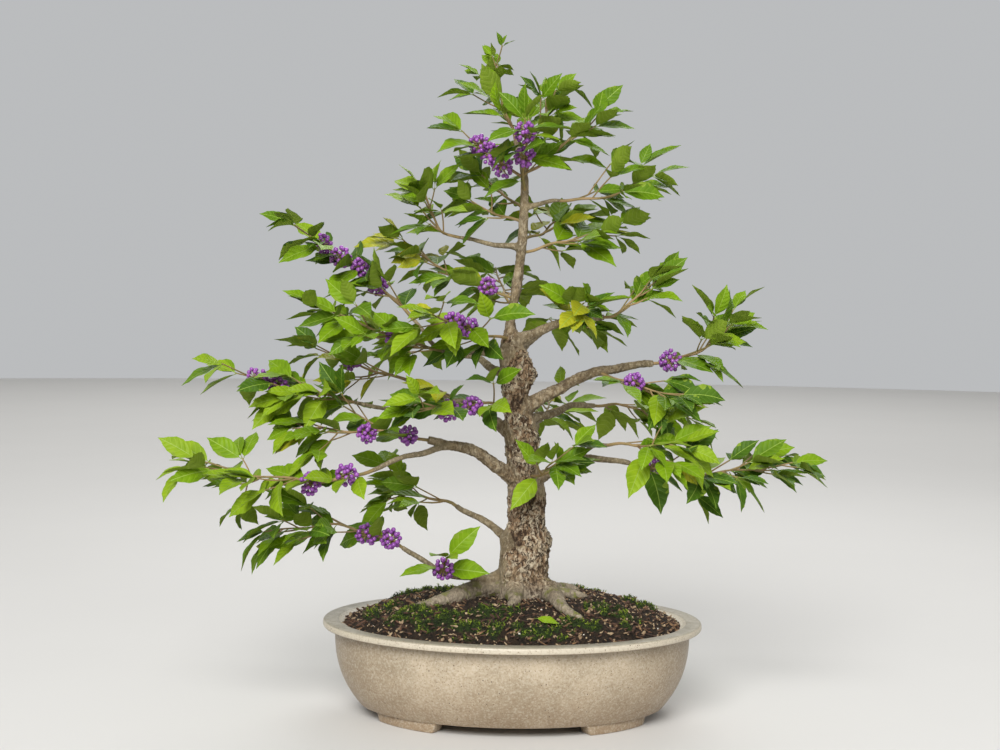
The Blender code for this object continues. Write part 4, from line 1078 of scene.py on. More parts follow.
def soil_share(x, y):
    """How far out a place on the mound is: 0 on the level round the trunk, 1 at the pot's wall."""
    low, high = 0.0, 1.0
    for _halving in range(SOIL_HALVINGS):
        share = (low + high) / 2
        across, deep, shift = mound_ring(SOIL_LEVEL, share)
        inside = ((x - shift) / across) ** 2 + (y / deep) ** 2 < 1
        low, high = (low, share) if inside else (share, high)
    return high


def soil_height(x, y):
    return SOIL_EDGE + (SOIL_TOP - SOIL_EDGE) * (1 - soil_share(x, y) ** SOIL_POWER)


def moss_amount(x, y):
    """How mossy a place on the soil is, from 0 to 1, ragged at the cushions' edges."""
    most = 0.0
    for middle_x, middle_y, wide, deep in MOSS:
        near = ((x - middle_x) / wide) ** 2 + ((y - middle_y) / deep) ** 2
        most = max(most, CUSHION_END - near)
    ragged = most * CUSHION_COVER
    for size, layer, strong in MOSS_RAGS:
        ragged += noise.noise(Vector((x / size, y / size, layer))) * strong
    return min(max(ragged - CUSHION_LOSS, 0.0), 1.0) if most > 0 else 0.0


def damp_ground():
    """Composted bark fines, damp and nearly black brown without shine, deep green under the moss."""
    made, tree, shader, place = new_finish("damp bark compost", Roughness=0.92, IOR=1.4)
    # Crumbs about 3 mm across.
    crumbly = {"Vector": place, "Scale": 350.0, "Detail": 5.0, "Roughness": 0.7}
    crumb = add(tree, "ShaderNodeTexNoise", crumbly)
    moss = add(tree, "ShaderNodeAttribute", attribute_name="moss").outputs["Fac"]
    cover = add(tree, "ShaderNodeMapRange", {0: moss, 1: 0.15, 2: 0.5})
    brown, green = (
        layered(tree, linear(dark), ((crumb, 0.38, 0.62, 0.0, 1.0, None, light),))
        for dark, light in (("#0D0A07", "#382A1C"), ("#141C08", "#2C3C10"))
    )
    ground = add(tree, "ShaderNodeMix", {0: cover, 6: brown, 7: green}, data_type="RGBA")
    crumbs = add(tree, "ShaderNodeBump", {"Height": crumb, "Distance": 0.0022})
    feed(tree, shader, {"Base Color": ground, "Normal": crumbs})
    return made


def build_soil(looks, strewn):
    """The mound: a crumbly surface, strewn with bark fines and grit, with cushions of moss."""
    points = []
    mossy = []
    for ring in range(SOIL_RINGS + 1):
        share = 1 - ring / SOIL_RINGS
        across, deep, shift = mound_ring(SOIL_LEVEL / 2, share)
        for corner in range(SOIL_SIDES):
            angle = math.tau * corner / SOIL_SIDES
            x = shift + across * math.cos(angle)
            y = deep * math.sin(angle)
            moss = moss_amount(x, y)
            crumb = noise.fractal(Vector((x / CRUMB_SIZE, y / CRUMB_SIZE, 0.0)), *CRUMB_NOISE) * CRUMB_HEIGHT
            swell = 1 + noise.noise(Vector((x / CUSHION_SIZE, y / CUSHION_SIZE, 8.0)))
            bumps = crumb * (1 - 0.5 * moss) + moss * CUSHION_HEIGHT * swell
            # The last share of the mound lies smooth against the pot's wall.
            fall = 1 - max(0.0, share - (1 - SOIL_SMOOTH)) / SOIL_SMOOTH
            points.append((x, y, soil_height(x, y) - SOIL_SINK + bumps * fall))
            mossy.append(moss)
    rim = len(points)
    points += [(x, y, SOIL_EDGE - SOIL_SKIRT) for x, y, _z in points[:SOIL_SIDES]]
    mossy += [0.0] * SOIL_SIDES
    faces = skin(SOIL_RINGS + 1, SOIL_SIDES)[1:]
    faces += band(rim, 0, SOIL_SIDES)
    faces.append(tuple(range(rim, rim + SOIL_SIDES))[::-1])
    ground = add_piece("soil_surface", points, faces, looks["fines"])
    bare = [max(BARE_LEAST, 1 - moss) for moss in mossy[:rim]] + [0.0] * SOIL_SIDES
    store(ground, "moss", "FLOAT", mossy)
    store(ground, "turf", "FLOAT", [min(1.0, TURF_RISE * max(0.0, moss - TURF_START)) for moss in mossy])
    store(ground, "bare", "FLOAT", bare)
    ground.data.shade_smooth()
    pieces = [ground]
    # Each kind: its shape, where it lies, how many on a square metre, least and largest size in mm, tilt,
    # seed and finish.
    bits = (
        ("bark_fines", chip_shape(1, (1.0, 0.36, 0.22)), "bare", 20000, 4.0, 11.0, 0.6, 3, "chips"),
        ("bark_slivers", chip_shape(5, (1.0, 0.2, 0.14)), "bare", 9000, 4.0, 13.0, 0.7, 19, "slivers"),
        ("bark_flakes", chip_shape(6, (1.0, 0.55, 0.2)), "bare", 11000, 2.5, 8.0, 0.9, 23, "flakes"),
        ("bark_crumbs", chip_shape(2, (1.0, 0.7, 0.45)), "bare", 60000, 1.2, 4.0, 3.0, 5, "crumbs"),
        ("grit_tan", chip_shape(3, (1.0, 0.85, 0.7)), "bare", 9000, 1.2, 3.0, 3.0, 7, "grit"),
        ("grit_pale", chip_shape(4, (1.0, 0.9, 0.75)), "bare", 700, 1.2, 2.8, 3.0, 11, "pumice"),
        ("moss_tufts", tuft_shape(), "turf", 190000, 1.5, 3.8, 0.7, 13, "moss"),
        ("moss_tips", tuft_shape(), "turf", 46000, 2.0, 4.4, 0.7, 17, "moss_tips"),
    )
    for name, shape, where, dense, least, most, tilt, seed, look in bits:
        bit = unit_piece(name + "_bit", *shape)
        field = ground.copy()
        field.data = ground.data.copy()
        field.name = name
        bpy.context.scene.collection.objects.link(field)
        pieces.append(grown(field, strewn, {
            "Bit": bit, "Where": where, "Per square metre": float(dense), "Smallest": least * MM,
            "Largest": most * MM, "Tilt": tilt, "Seed": seed, "Material": looks[look],
        }))
        bpy.data.objects.remove(bit, do_unlink=True)
    return pieces


def chip_shape(seed, sizes):
    """A broken chip about one across: a dented ball of few faces, squashed to its sizes."""
    draw = random.Random(seed)
    points = [vec(0, 0, -0.5)]
    for height in CHIP_LEVELS:
        for corner in range(CHIP_SIDES):
            turn = math.tau * (corner + draw.uniform(*CHIP_TURNS)) / CHIP_SIDES + height
            reach = CHIP_REACH * draw.uniform(*CHIP_REACHES)
            points.append(point_at(turn, reach, reach, height * draw.uniform(*CHIP_RISES)))
    points.append(vec(0, 0, 0.5))
    return [point * vec(*sizes) for point in points], capped(CHIP_SIDES, 2)


def tuft_shape():
    """A moss shoot about one tall: a short stalk with small pointed leaflets standing off it."""
    shapes = []
    for number in range(TUFT_LEAFLETS):
        out = polar(360 / TUFT_LEAFLETS * number + TUFT_TURN)
        low = vec(0, 0, TUFT_STEP * number) + out * TUFT_STALK
        side = vec(-out[1], out[0], 0) * TUFT_HALF
        tip = low + out * TUFT_TIP[0] + vec(0, 0, TUFT_TIP[1])
        back = low + vec(0, 0, TUFT_BACK)
        points = [low - side, low + side, back, tip]
        shapes.append(closed(points, [(0, 2, 1), (0, 1, 3), (1, 2, 3), (2, 0, 3)]))
    return joined(shapes)


# Limbs

def trunk_path(step=TRUNK_STEP):
    """The trunk's centre line and radii, smooth through its stations."""
    stations = np.array(TRUNK, dtype=float)
    count = round((stations[-1, 0] - stations[0, 0]) / step)
    heights = np.linspace(stations[0, 0], stations[-1, 0], count + 1)
    slopes = np.gradient(stations[:, 1:], stations[:, 0], axis=0)
    rows = []
    for height in heights:
        index = min(int(np.searchsorted(stations[:, 0], height, side="right")) - 1, len(stations) - 2)
        span = stations[index + 1, 0] - stations[index, 0]
        part = (height - stations[index, 0]) / span
        here, there = stations[index, 1:], stations[index + 1, 1:]
        rows.append(
            (2 * part**3 - 3 * part**2 + 1) * here + (part**3 - 2 * part**2 + part) * span * slopes[index]
            + (3 * part**2 - 2 * part**3) * there + (part**3 - part**2) * span * slopes[index + 1]
        )
    rows = np.array(rows)
    return np.column_stack([rows[:, 0], rows[:, 1], heights]), rows[:, 2]


def trunk_shape(path, radii):
    """How far the trunk's side stands out at a ring and an angle: shallow flutes and burls."""
    def shape(index, angle):
        height = path[index][2]
        size = 1 + FLUTE_DEPTH * math.sin(FLUTES * angle + height / FLUTE_TWIST)
        for burl_height, degrees, stand in BURLS:
            # On an upright tube the angle starts at -X, half a turn from where the degrees start.
            turn = (angle - math.radians(degrees)) % math.tau - math.pi
            fall = math.exp(-((height - burl_height) / BURL_TALL) ** 2 - (turn / BURL_WIDE) ** 2)
            size += stand / radii[index] * fall
        return size
    return shape


def root_path(degrees, length, radius, bend):
    """A surface root's centre line and radii, lying on the mound."""
    out = polar(degrees)
    side = vec(-out[1], out[0], 0)
    count = max(4, round(length / ROOT_STEP))
    path = []
    radii = []
    for index in range(count + 1):
        share = index / count
        place = vec(TRUNK[0][1], TRUNK[0][2], 0) + out * (ROOT_START + (length - ROOT_START) * share)
        place = place + side * bend * math.sin(ROOT_BENDS * math.pi * share) * ROOT_BEND_SHARE
        thick = ROOT_END + (ROOT_SWELL * radius - ROOT_END) * (1 - share) ** ROOT_TAPER
        climb = ROOT_CLIMB * max(0.0, 1 - share * length / ROOT_CLIMB_REACH) ** 2
        place[2] = soil_height(place[0], place[1]) + ROOT_RISE * thick + climb
        path.append(place)
        radii.append(thick)
    return np.array(path), radii


def limb_lines():
    """The centre line and radii of the trunk and of every bough, by name."""
    path, radii = trunk_path()
    lines = {"trunk": (path, list(radii))}
    for name, (parent, where, end, lift, thick, thin) in BOUGHS.items():
        start = place_on(lines, parent, where)[0]
        end = vec(*end)
        middle = (start + end) / 2 + vec(0, 0, 2 * lift)
        line = waved(bent(start, middle, end, BOUGH_STEP), name, BOUGH_WAVE)
        lines[name] = (line, list(np.linspace(thick, thin, len(line))))
    return lines


def place_on(lines, parent, where):
    """A point on a limb's centre line and the limb's heading there. where is a height on the trunk."""
    path = lines[parent][0]
    if where > 1.0:
        index = int(np.searchsorted(path[:, 2], where))
        low, high = path[index - 1], path[index]
        return low + (high - low) * (where - low[2]) / (high[2] - low[2]), unit(high - low)
    return along(path, where)


def radius_at(lines, parent, where):
    """A limb's radius at a height on the trunk or at a share of a bough."""
    path, radii = lines[parent]
    if where > 1.0:
        return float(np.interp(where, path[:, 2], radii))
    return float(np.interp(where * (len(path) - 1), range(len(path)), radii))


def build_bark(lines, relief, look):
    """Trunk, roots and boughs grown together into one skin, with the bark's relief."""
    path, radii = lines["trunk"]
    foot = path[0] - vec(0, 0, TRUNK_STUB)
    stand = trunk_shape(path, radii)
    shapes = [tube(np.vstack([foot, path]), radii[:1] + radii, TRUNK_SIDES,
                   lambda index, angle: stand(max(index - 1, 0), angle))]
    roots = [root_path(*row) for row in ROOTS]
    shapes += [tube(line, thick, ROOT_SIDES) for line, thick in roots]
    for name in BOUGHS:
        line, thick = lines[name]
        buried = radius_at(lines, *BOUGHS[name][:2])
        bare = [max(mark - buried, 0) for mark in marks_of(line)]
        flared = [radius * (1 + COLLAR * math.exp(-past / COLLAR_FADE)) for radius, past in zip(thick, bare)]
        shapes.append(tube(line, flared, BOUGH_SIDES))
    bark = add_piece("trunk_and_boughs", *joined(shapes))
    remesh = bark.modifiers.new("grown together", "REMESH")
    remesh.mode = "VOXEL"
    remesh.voxel_size = BARK_VOXEL * MM
    applied(bark)
    tree = KDTree(sum(len(line) for line, _radii in [*lines.values(), *roots]))
    girths = []
    for number, (line, thick) in enumerate([*lines.values(), *roots]):
        for index, (point, radius) in enumerate(zip(line, thick)):
            tree.insert(Vector(point * MM + MIDDLE), len(girths))
            depth = min(max((radius - BARK_THIN) / BARK_RANGE, BARK_LEAST), 1.0)
            if number >= len(lines):
                depth = max(ROOT_BARK, 1 - index / len(line) * (1 - ROOT_BARK) / ROOT_BARK_SHARE)
            girths.append(depth)
    tree.balance()
    near = [girths[tree.find(vertex.co)[1]] for vertex in bark.data.vertices]
    store(bark, "girth", "FLOAT", near)
    return grown(bark, relief, {"Material": look})


# Growth

class Room:
    """The closed shapes that already stand in the crown, so that new growth can keep clear of them."""

    def __init__(self):
        self.middles = []
        self.reaches = []
        self.trees = []
        self.owners = []

    def add(self, shape, owner):
        middle, reach, tree = measured(shape)
        self.middles.append(middle)
        self.reaches.append(reach)
        self.trees.append(tree)
        self.owners.append(owner)

    def free(self, shape, ignored=""):
        """Whether a shape touches nothing but what belongs to the ignored owner."""
        middle, reach, tree = measured(shape)
        apart = np.linalg.norm(np.array(self.middles) - middle, axis=1)
        near = np.nonzero(apart < np.array(self.reaches) + reach)[0]
        return not any(self.owners[other] != ignored and tree.overlap(self.trees[other]) for other in near)


def measured(shape):
    """A shape's middle, its reach from there, and its tree of faces."""
    points, faces = shape
    points = np.array(points)
    middle = (points.min(axis=0) + points.max(axis=0)) / 2
    reach = float(np.linalg.norm(points - middle, axis=1).max())
    return middle, reach, BVHTree.FromPolygons(points.tolist(), faces)


def fat_twig(line, radii, skip=0.0):
    """A twig with room round it, from a distance past its start."""
    marks = marks_of(line)
    kept = marks > skip + 1.0
    line = np.vstack([along(line, skip / marks[-1])[0], line[kept]])
    radii = [radii[0]] + [radius for radius, keep in zip(radii, kept) if keep]
    return tube(line, [radius + CLEAR for radius in radii], 3)


def leaf_room(leaf, skip):
    """The space of one leaf as a plain folded kite, past its foot."""
    base, heading, face, length = leaf
    side = unit(np.cross(face, heading))
    face = unit(np.cross(heading, side))
    tip = base + heading * length - face * LEAF_SAG * length
    foot = base + heading * skip
    wide = LEAF_ROOM * LEAF_WIDTH * length / 2
    middle = foot + (tip - foot) * LEAF_MIDDLE + face * LEAF_CREST
    points = [foot, middle + side * wide, tip, middle - side * wide, middle - face * LEAF_KEEL]
    return points, ((0, 1, 2), (0, 2, 3), (0, 4, 1), (1, 4, 2), (2, 4, 3), (3, 4, 0))


def inside(point):
    """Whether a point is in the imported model's box, or barely past it."""
    place = point * MM + MIDDLE
    margin = BOX_MARGIN * MM
    return all(low - margin < side < high + margin for side, low, high in zip(place, *cad_box))


def across(heading):
    """The level direction to the right of a heading."""
    return unit(np.cross(heading, vec(0, 0, 1)) + vec(1e-6, 0, 0))


def stem_line(lines, mass):
    """The stem of a mass: it leaves its limb along the limb's own heading, or out from its side."""
    parent, where, reach, *_rest = MASSES[mass]
    start, heading = place_on(lines, parent, where)
    reach = vec(*reach)
    straight = unit(reach - start)
    if where != 1.0:
        heading = unit(straight - heading * float(straight @ heading) * STEM_SLANT)
    end = reach - straight * REACH_LEAF * STEM_SHORT
    bend = start + heading * STEM_BEND * np.linalg.norm(end - start)
    return waved(bent(start, bend, end, LINE_STEP), mass, STEM_WAVE)


def shoot_line(stem, spread, share, hand, draw):
    """A side shoot that leaves the stem on one hand, longer near the stem's middle."""
    start, heading = along(stem, share)
    sideways = turned(hand * across(heading), hand * heading, draw.uniform(*SHOOT_SWING))
    angle = math.radians(draw.uniform(*SHOOT_ANGLES) - SHOOT_CLOSING * share)
    first = unit(heading * math.cos(angle) + sideways * math.sin(angle))
    middle = SHOOT_MIDDLE * math.sin(math.pi * min(share + SHOOT_PEAK, 1.0))
    length = spread * (SHOOT_SHARE + middle) * draw.uniform(*SHOOT_SIZES)
    length = max(length - REACH_LEAF / 2, SHOOT_LEAST)
    end = start + unit(first + SHOOT_ONWARD * heading + vec(0, 0, SHOOT_UP)) * length
    return bent(start, start + first * length / 2, end, LINE_STEP)


def carried_on(line, distance):
    """A line that grows on past its end."""
    heading = unit(line[-1] - line[-2])
    return np.vstack([line, line[-1] + heading * distance])


def leaf_at(point, heading, hand, angle, draw, size):
    """A leaf that leaves a twig on one side and droops, with its face up and out from the trunk."""
    sideways = turned(hand * across(heading), hand * heading, draw.uniform(-LEAF_SWING, LEAF_SWING))
    turn = math.radians(angle + draw.uniform(-LEAF_ANGLE_SPREAD, LEAF_ANGLE_SPREAD))
    out = unit(heading * math.cos(turn) + sideways * math.sin(turn))
    out = unit(out - vec(0, 0, draw.uniform(*LEAF_DROOP)))
    outer = unit(vec(point[0] - TRUNK[0][1], point[1], 0))
    roll = vec(draw.uniform(-LEAF_ROLL, LEAF_ROLL), draw.uniform(-LEAF_ROLL, LEAF_ROLL), 0)
    face = vec(0, -LEAF_FRONTWARD, 1) + outer * draw.uniform(*LEAF_OUTWARD) + roll
    face = unit(face - out * float(face @ out))
    return point, out, face, LEAF_LENGTH * size * draw.uniform(*LEAF_SIZES)


class Twig:
    """A stem, shoot or side twig: its line and radii, the hands already taken on it, and its tint."""

    def __init__(self, line, thick, thin, first, tint):
        self.line = line
        self.radii = list(np.linspace(thick, thin, len(line)))
        self.first = first
        self.tint = tint
        self.taken = []


class Mass:
    """The twigs, leaves and fruit of one mass of foliage."""

    def __init__(self, name, lines):
        self.name = name
        self.spread, self.shoots, self.fruit_shares = MASSES[name][3:]
        self.stem = stem_line(lines, name)
        parent, where = MASSES[name][:2]
        first = FIRST_NODE + (0.0 if where == 1.0 else radius_at(lines, parent, where))
        self.first = first / length_of(self.stem)
        self.draw = random.Random(name + " tint")
        line = carried_on(self.stem, TIP_GROWTH)
        self.twigs = [Twig(line, STEM_RADIUS, TWIG_END, first, self.tint())]
        self.leaves = []
        self.fruit = []
        self.fruit_places = []

    def tint(self):
        return self.draw.choices(range(len(TINTS)), TINT_SHARES)[0]

    def grow_stem(self, room):
        twig = self.twigs[0]
        room.add(fat_twig(twig.line, twig.radii), self.name)

    def grow_fruit(self, room):
        shorter = length_of(self.stem) / length_of(self.twigs[0].line)
        for number, share in enumerate(self.fruit_shares):
            draw = random.Random(f"{self.name} fruit {number}")
            aside, over = (draw.uniform(-FRUIT_ASIDE, FRUIT_ASIDE) for _ in range(2))
            centre = along(self.stem, share)[0] + vec(aside, draw.uniform(*FRUIT_FORWARD), over)
            radius = FRUIT_RADIUS * draw.uniform(*FRUIT_SIZES)
            if room.free(ball(centre, radius), self.name):
                room.add(ball(centre, radius), self.name)
                self.fruit.append((centre, radius))
                self.fruit_places.append((share * shorter, radius))

    def node_share(self, number):
        """Where along the stem a shoot and its leaf stand."""
        return self.first + (1 - self.first) * (number + NODE_PAST) / (self.shoots + NODE_STEPS)

    def claim(self, room, whole, past_foot):
        """Takes the room for a shape that is clear of other masses and, past its foot, of its own."""
        free = room.free(whole, self.name) and room.free(past_foot)
        if free:
            room.add(whole, self.name)
        return free

    def grow_shoots(self, room):
        for number in range(self.shoots):
            draw = random.Random(f"{self.name} shoot {number}")
            hand = 1 if number % 2 else -1
            share = self.node_share(number)
            for _attempt in range(SHOOT_TRIES):
                line = carried_on(shoot_line(self.stem, self.spread, share, hand, draw), SHOOT_GROWTH)
                if self.add_twig(room, line, TWIG_RADIUS, self.twigs[0], share, hand):
                    break

    def add_twig(self, room, line, thick, parent, share, hand):
        """Adds a twig where it has room, and notes its place on the one that carries it."""
        tint = parent.tint if self.draw.random() < TWIG_TINT_KEPT else self.tint()
        twig = Twig(line, thick, TWIG_END, LEAF_FIRST, tint)
        free = self.claim(room, fat_twig(line, twig.radii), fat_twig(line, twig.radii, SHOOT_SKIP))
        if free:
            parent.taken.append((share * length_of(parent.line), hand))
            self.twigs.append(twig)
        return free

    def grow_side_twigs(self, room):
        """Finer twigs on the stem and on every shoot, left and right in turn."""
        for number, parent in enumerate(list(self.twigs)):
            total = length_of(parent.line)
            places = np.arange(parent.first + SIDE_TWIG_ENDS[0], total - SIDE_TWIG_ENDS[1], SIDE_TWIG_GAP)
            for step, place in enumerate(places):
                draw = random.Random(f"{self.name} side twig {number} {step}")
                hand = 1 if (number + step) % 2 else -1
                if draw.random() > SIDE_TWIG_SHARE:
                    continue
                share = place / total
                start, heading = along(parent.line, share)
                onward, aside, up = SIDE_TWIG_HEADING
                for _attempt in range(SHOOT_TRIES):
                    sideways = turned(hand * across(heading), hand * heading, draw.uniform(*SIDE_TWIG_SWING))
                    out = unit(heading * onward + sideways * aside + vec(0, 0, up))
                    end = start + out * draw.uniform(*SIDE_TWIG)
                    line = bent(start, (start + end) / 2 + sideways * SIDE_TWIG_BEND, end, LINE_STEP)
                    if self.add_twig(room, line, SIDE_TWIG_RADIUS, parent, share, hand):
                        break

    def grow_leaves(self, room):
        """A pair round every cluster, a small leaf and a pair at every tip, and pairs back along twigs."""
        for share, radius in self.fruit_places:
            for hand in (1, -1):
                self.add_leaf(room, self.twigs[0], share, hand, LEAF_ANGLE, FRUIT_LEAF_SIZE, radius)
        for twig in self.twigs:
            total = length_of(twig.line)
            self.add_leaf(room, twig, 1.0, 0, TIP_LEAF_ANGLE, TIP_LEAF_SIZE)
            for number, place in enumerate(np.arange(total - LEAF_END, twig.first, -LEAF_GAP)):
                angle = END_LEAF_ANGLE if number == 0 else LEAF_ANGLE
                size = END_LEAF_SIZE if number == 0 else 1.0
                taken = {side for mark, side in twig.taken if abs(place - mark) < TAKEN_REACH}
                for hand in (1, -1):
                    if hand not in taken:
                        self.add_leaf(room, twig, place / total, hand, angle, size)

    def add_leaf(self, room, twig, share, hand, angle, size, skip=LEAF_SKIP):
        point, heading = along(twig.line, share)
        draw = random.Random(f"{self.name} {point.round(1).tolist()} {hand}")
        size *= min(max((TREE_TIP - point[2]) / TIP_SHRINK, LEAST_SIZE), 1.0)
        for _attempt in range(LEAF_TRIES):
            leaf = leaf_at(point, heading, hand or 1, angle, draw, size)
            room_left = inside(leaf[0] + leaf[1] * leaf[3])
            if room_left and self.claim(room, leaf_room(leaf, 0.0), leaf_room(leaf, skip)):
                kept = draw.random() < LEAF_TINT_KEPT
                tint = twig.tint if kept else draw.choices(range(len(TINTS)), TINT_SHARES)[0]
                self.leaves.append((leaf, tint, draw.randrange(len(LEAF_SHAPES))))
                break


def ball(centre, radius, sides=7, rings=2):
    """A low round ball that holds the space of one cluster of berries."""
    points = [centre + vec(0, 0, -radius)]
    for ring in range(1, rings + 1):
        tilt = math.pi * ring / (rings + 1)
        for corner in range(sides):
            turn = math.tau * (corner + 0.5 * ring) / sides
            flat = radius * math.sin(tilt)
            points.append(centre + point_at(turn, flat, flat, -radius * math.cos(tilt)))
    points.append(centre + vec(0, 0, radius))
    return points, capped(sides, rings)


def grow_masses(lines):
    """All masses, grown in rounds so that each has its stem and shoots before leaves fill the room."""
    room = Room()
    path, radii = trunk_path(TRUNK_ROOM_STEP)
    room.add(tube(path, radii + CLEAR, TRUNK_ROOM_SIDES, trunk_shape(path, radii)), "trunk")
    for name in BOUGHS:
        line, thick = (row[::BOUGH_ROOM_SKIP] for row in lines[name])
        room.add(tube(line, [radius + CLEAR for radius in thick], BOUGH_ROOM_SIDES), name)
    masses = [Mass(name, lines) for name in MASSES]
    for grow in (Mass.grow_stem, Mass.grow_fruit, Mass.grow_shoots, Mass.grow_side_twigs, Mass.grow_leaves):
        for mass in masses:
            grow(mass, room)
    return masses


def leaf_blade(fold, sag, twist, wave):
    """One leaf of unit length: a short stalk and a toothed, pointed blade with a raised keel, closed
    all round. Regions: 0 the blade's face, 1 its underside, 2 rib and stalk. Also gives each point's
    place on the flat leaf, which the veins follow."""
    half = LEAF_WIDTH / 2
    points = []
    flat = []
    faces = []
    regions = []

    def put(x, y, z):
        """A point of the flat leaf, folded, rippled, arched and twisted."""
        flat.append((x, y, 0.0))
        z += fold * abs(y) + wave * math.sin(x * RIPPLES) * abs(y)
        turn = twist * x
        y, z = y * math.cos(turn) - z * math.sin(turn), y * math.sin(turn) + z * math.cos(turn)
        arch = sag * x
        fall = (1 - math.cos(arch)) / sag
        points.append(vec(math.sin(arch) / sag + z * math.sin(arch), y, z * math.cos(arch) - fall))
        return len(points) - 1

    def close(region, hand, *corners):
        faces.append(corners if hand > 0 else corners[::-1])
        regions.append(region)

    stations = LEAF_EDGE[::2]
    inner_stations = stations[1:-1]
    base, tip = put(stations[0][0], 0, 0), put(stations[-1][0], 0, 0)
    keel = [base] + [put(x, 0, -KEEL_DROP) for x, _wide in inner_stations] + [tip]
    ribs = {}
    for hand in (1, -1):
        rib = [base] + [put(x, hand * RIB_HALF, RIB_RISE) for x, _wide in inner_stations] + [tip]
        reach = hand * half * RAISED_SHARE
        inner = [base] + [put(x, reach * wide, RAISED) for x, wide in inner_stations] + [tip]
        edge = [base] + [put(x, hand * half * wide, 0) for x, wide in LEAF_EDGE[1:-1]] + [tip]
        ribs[hand] = rib
        for here in range(len(stations) - 1):
            on = here + 1
            rim = (edge[2 * on], edge[2 * on - 1], edge[2 * here])
            close(0, hand, *dict.fromkeys((inner[here], inner[on]) + rim))
            close(0, hand, *dict.fromkeys((rib[here], rib[on], inner[on], inner[here])))
            close(1, hand, *dict.fromkeys((keel[on], keel[here]) + rim[::-1]))
    for here in range(len(stations) - 1):
        close(2, 1, *dict.fromkeys((ribs[1][here], ribs[-1][here], ribs[-1][here + 1], ribs[1][here + 1])))
    ring = [(STALK_RADIUS * math.cos(turn), STALK_RADIUS * math.sin(turn)) for turn in STALK_TURNS]
    stalk = [put(x, aside, up) for x in STALK_ENDS for aside, up in ring]
    for corner in range(3):
        after = (corner + 1) % 3
        close(2, 1, stalk[corner], stalk[3 + corner], stalk[3 + after], stalk[after])
    close(2, 1, *stalk[:3])
    close(2, 1, *stalk[3:][::-1])
    return points, faces, regions, flat


def leaf_shapes():
    """A hidden collection of leaf shapes, alike but folded, arched and twisted each its own way."""
    shapes = bpy.data.collections.new("leaf shapes")
    for number, form in enumerate(LEAF_SHAPES):
        points, faces, regions, flat = leaf_blade(*form)
        mesh = bpy.data.meshes.new(f"leaf_shape_{number}")
        mesh.from_pydata([tuple(point) for point in points], [], faces)
        obj = bpy.data.objects.new(f"leaf_shape_{number}", mesh)
        store(obj, "region", "INT", regions, "FACE")
        store(obj, "flat", "FLOAT_VECTOR", flat)
        mesh.shade_smooth()
        shapes.objects.link(obj)
    return shapes


def on_points(name, places, turns, sizes, kinds=None):
    """A mesh of bare points that carry a turn, a size and a kind for what is set on them."""
    obj = add_piece(name, places, [])
    store(obj, "turn", "QUATERNION", [tuple(turn) for turn in turns])
    store(obj, "long", "FLOAT", [size * MM for size in sizes])
    if kinds is not None:
        store(obj, "kind", "INT", kinds)
    return obj


def facing(heading, face):
    """The turn that brings X to a heading and Z to a face's direction."""
    side = unit(np.cross(face, heading))
    face = np.cross(heading, side)
    return Matrix(np.column_stack([heading, side, face]).tolist()).to_quaternion()


def build_leaves(masses, tree, looks):
    """The leaves of every mass, joined into one piece for each tint, and one that fell on the soil."""
    shapes = leaf_shapes()
    pieces = []
    fallen = vec(*FALLEN_LEAF, soil_height(*FALLEN_LEAF) + FALLEN_RISE)
    lying = (fallen, unit(vec(*FALLEN_HEADING)), vec(*FALLEN_FACE), FALLEN_LENGTH)
    for number, tint in enumerate(TINTS):
        rows = [row for mass in masses for row in mass.leaves if row[1] == number]
        rows += [(lying, number, 1)] if tint == "pale" else []
        leaves, _tints, kinds = zip(*rows)
        spots = on_points(
            "leaves_" + tint, [leaf[0] for leaf in leaves], [facing(leaf[1], leaf[2]) for leaf in leaves],
            [leaf[3] for leaf in leaves], kinds,
        )
        pieces.append(grown(spots, tree, {
            "Shapes": shapes, "Blade": looks[tint], "Underside": looks["underside"], "Rib": looks["rib"],
        }, LEAF_RIM_ANGLE))
    for obj in list(shapes.objects):
        bpy.data.objects.remove(obj, do_unlink=True)
    return pieces


def line_piece(name, rows, tree, sides, look):
    """Tubes along many lines, joined into one piece."""
    points = []
    edges = []
    thick = []
    for line, radii in rows:
        edges += [(len(points) + step, len(points) + step + 1) for step in range(len(line) - 1)]
        points += list(line)
        thick += [radius * MM for radius in radii]
    obj = add_piece(name, points, [], edges=edges)
    store(obj, "thick", "FLOAT", thick)
    return grown(obj, tree, {"Sides": sides, "Material": look})


def berry_shape():
    """A round berry of radius one, with a dimple at its tip."""
    points = [vec(0, 0, -1.0)]
    for height in BERRY_RINGS:
        flat = math.sqrt(1 - height**2)
        for corner in range(BERRY_SIDES):
            points.append(point_at(math.tau * corner / BERRY_SIDES, flat, flat, height))
    points.append(vec(0, 0, BERRY_TIP))
    return points, capped(BERRY_SIDES, len(BERRY_RINGS), whole=True)


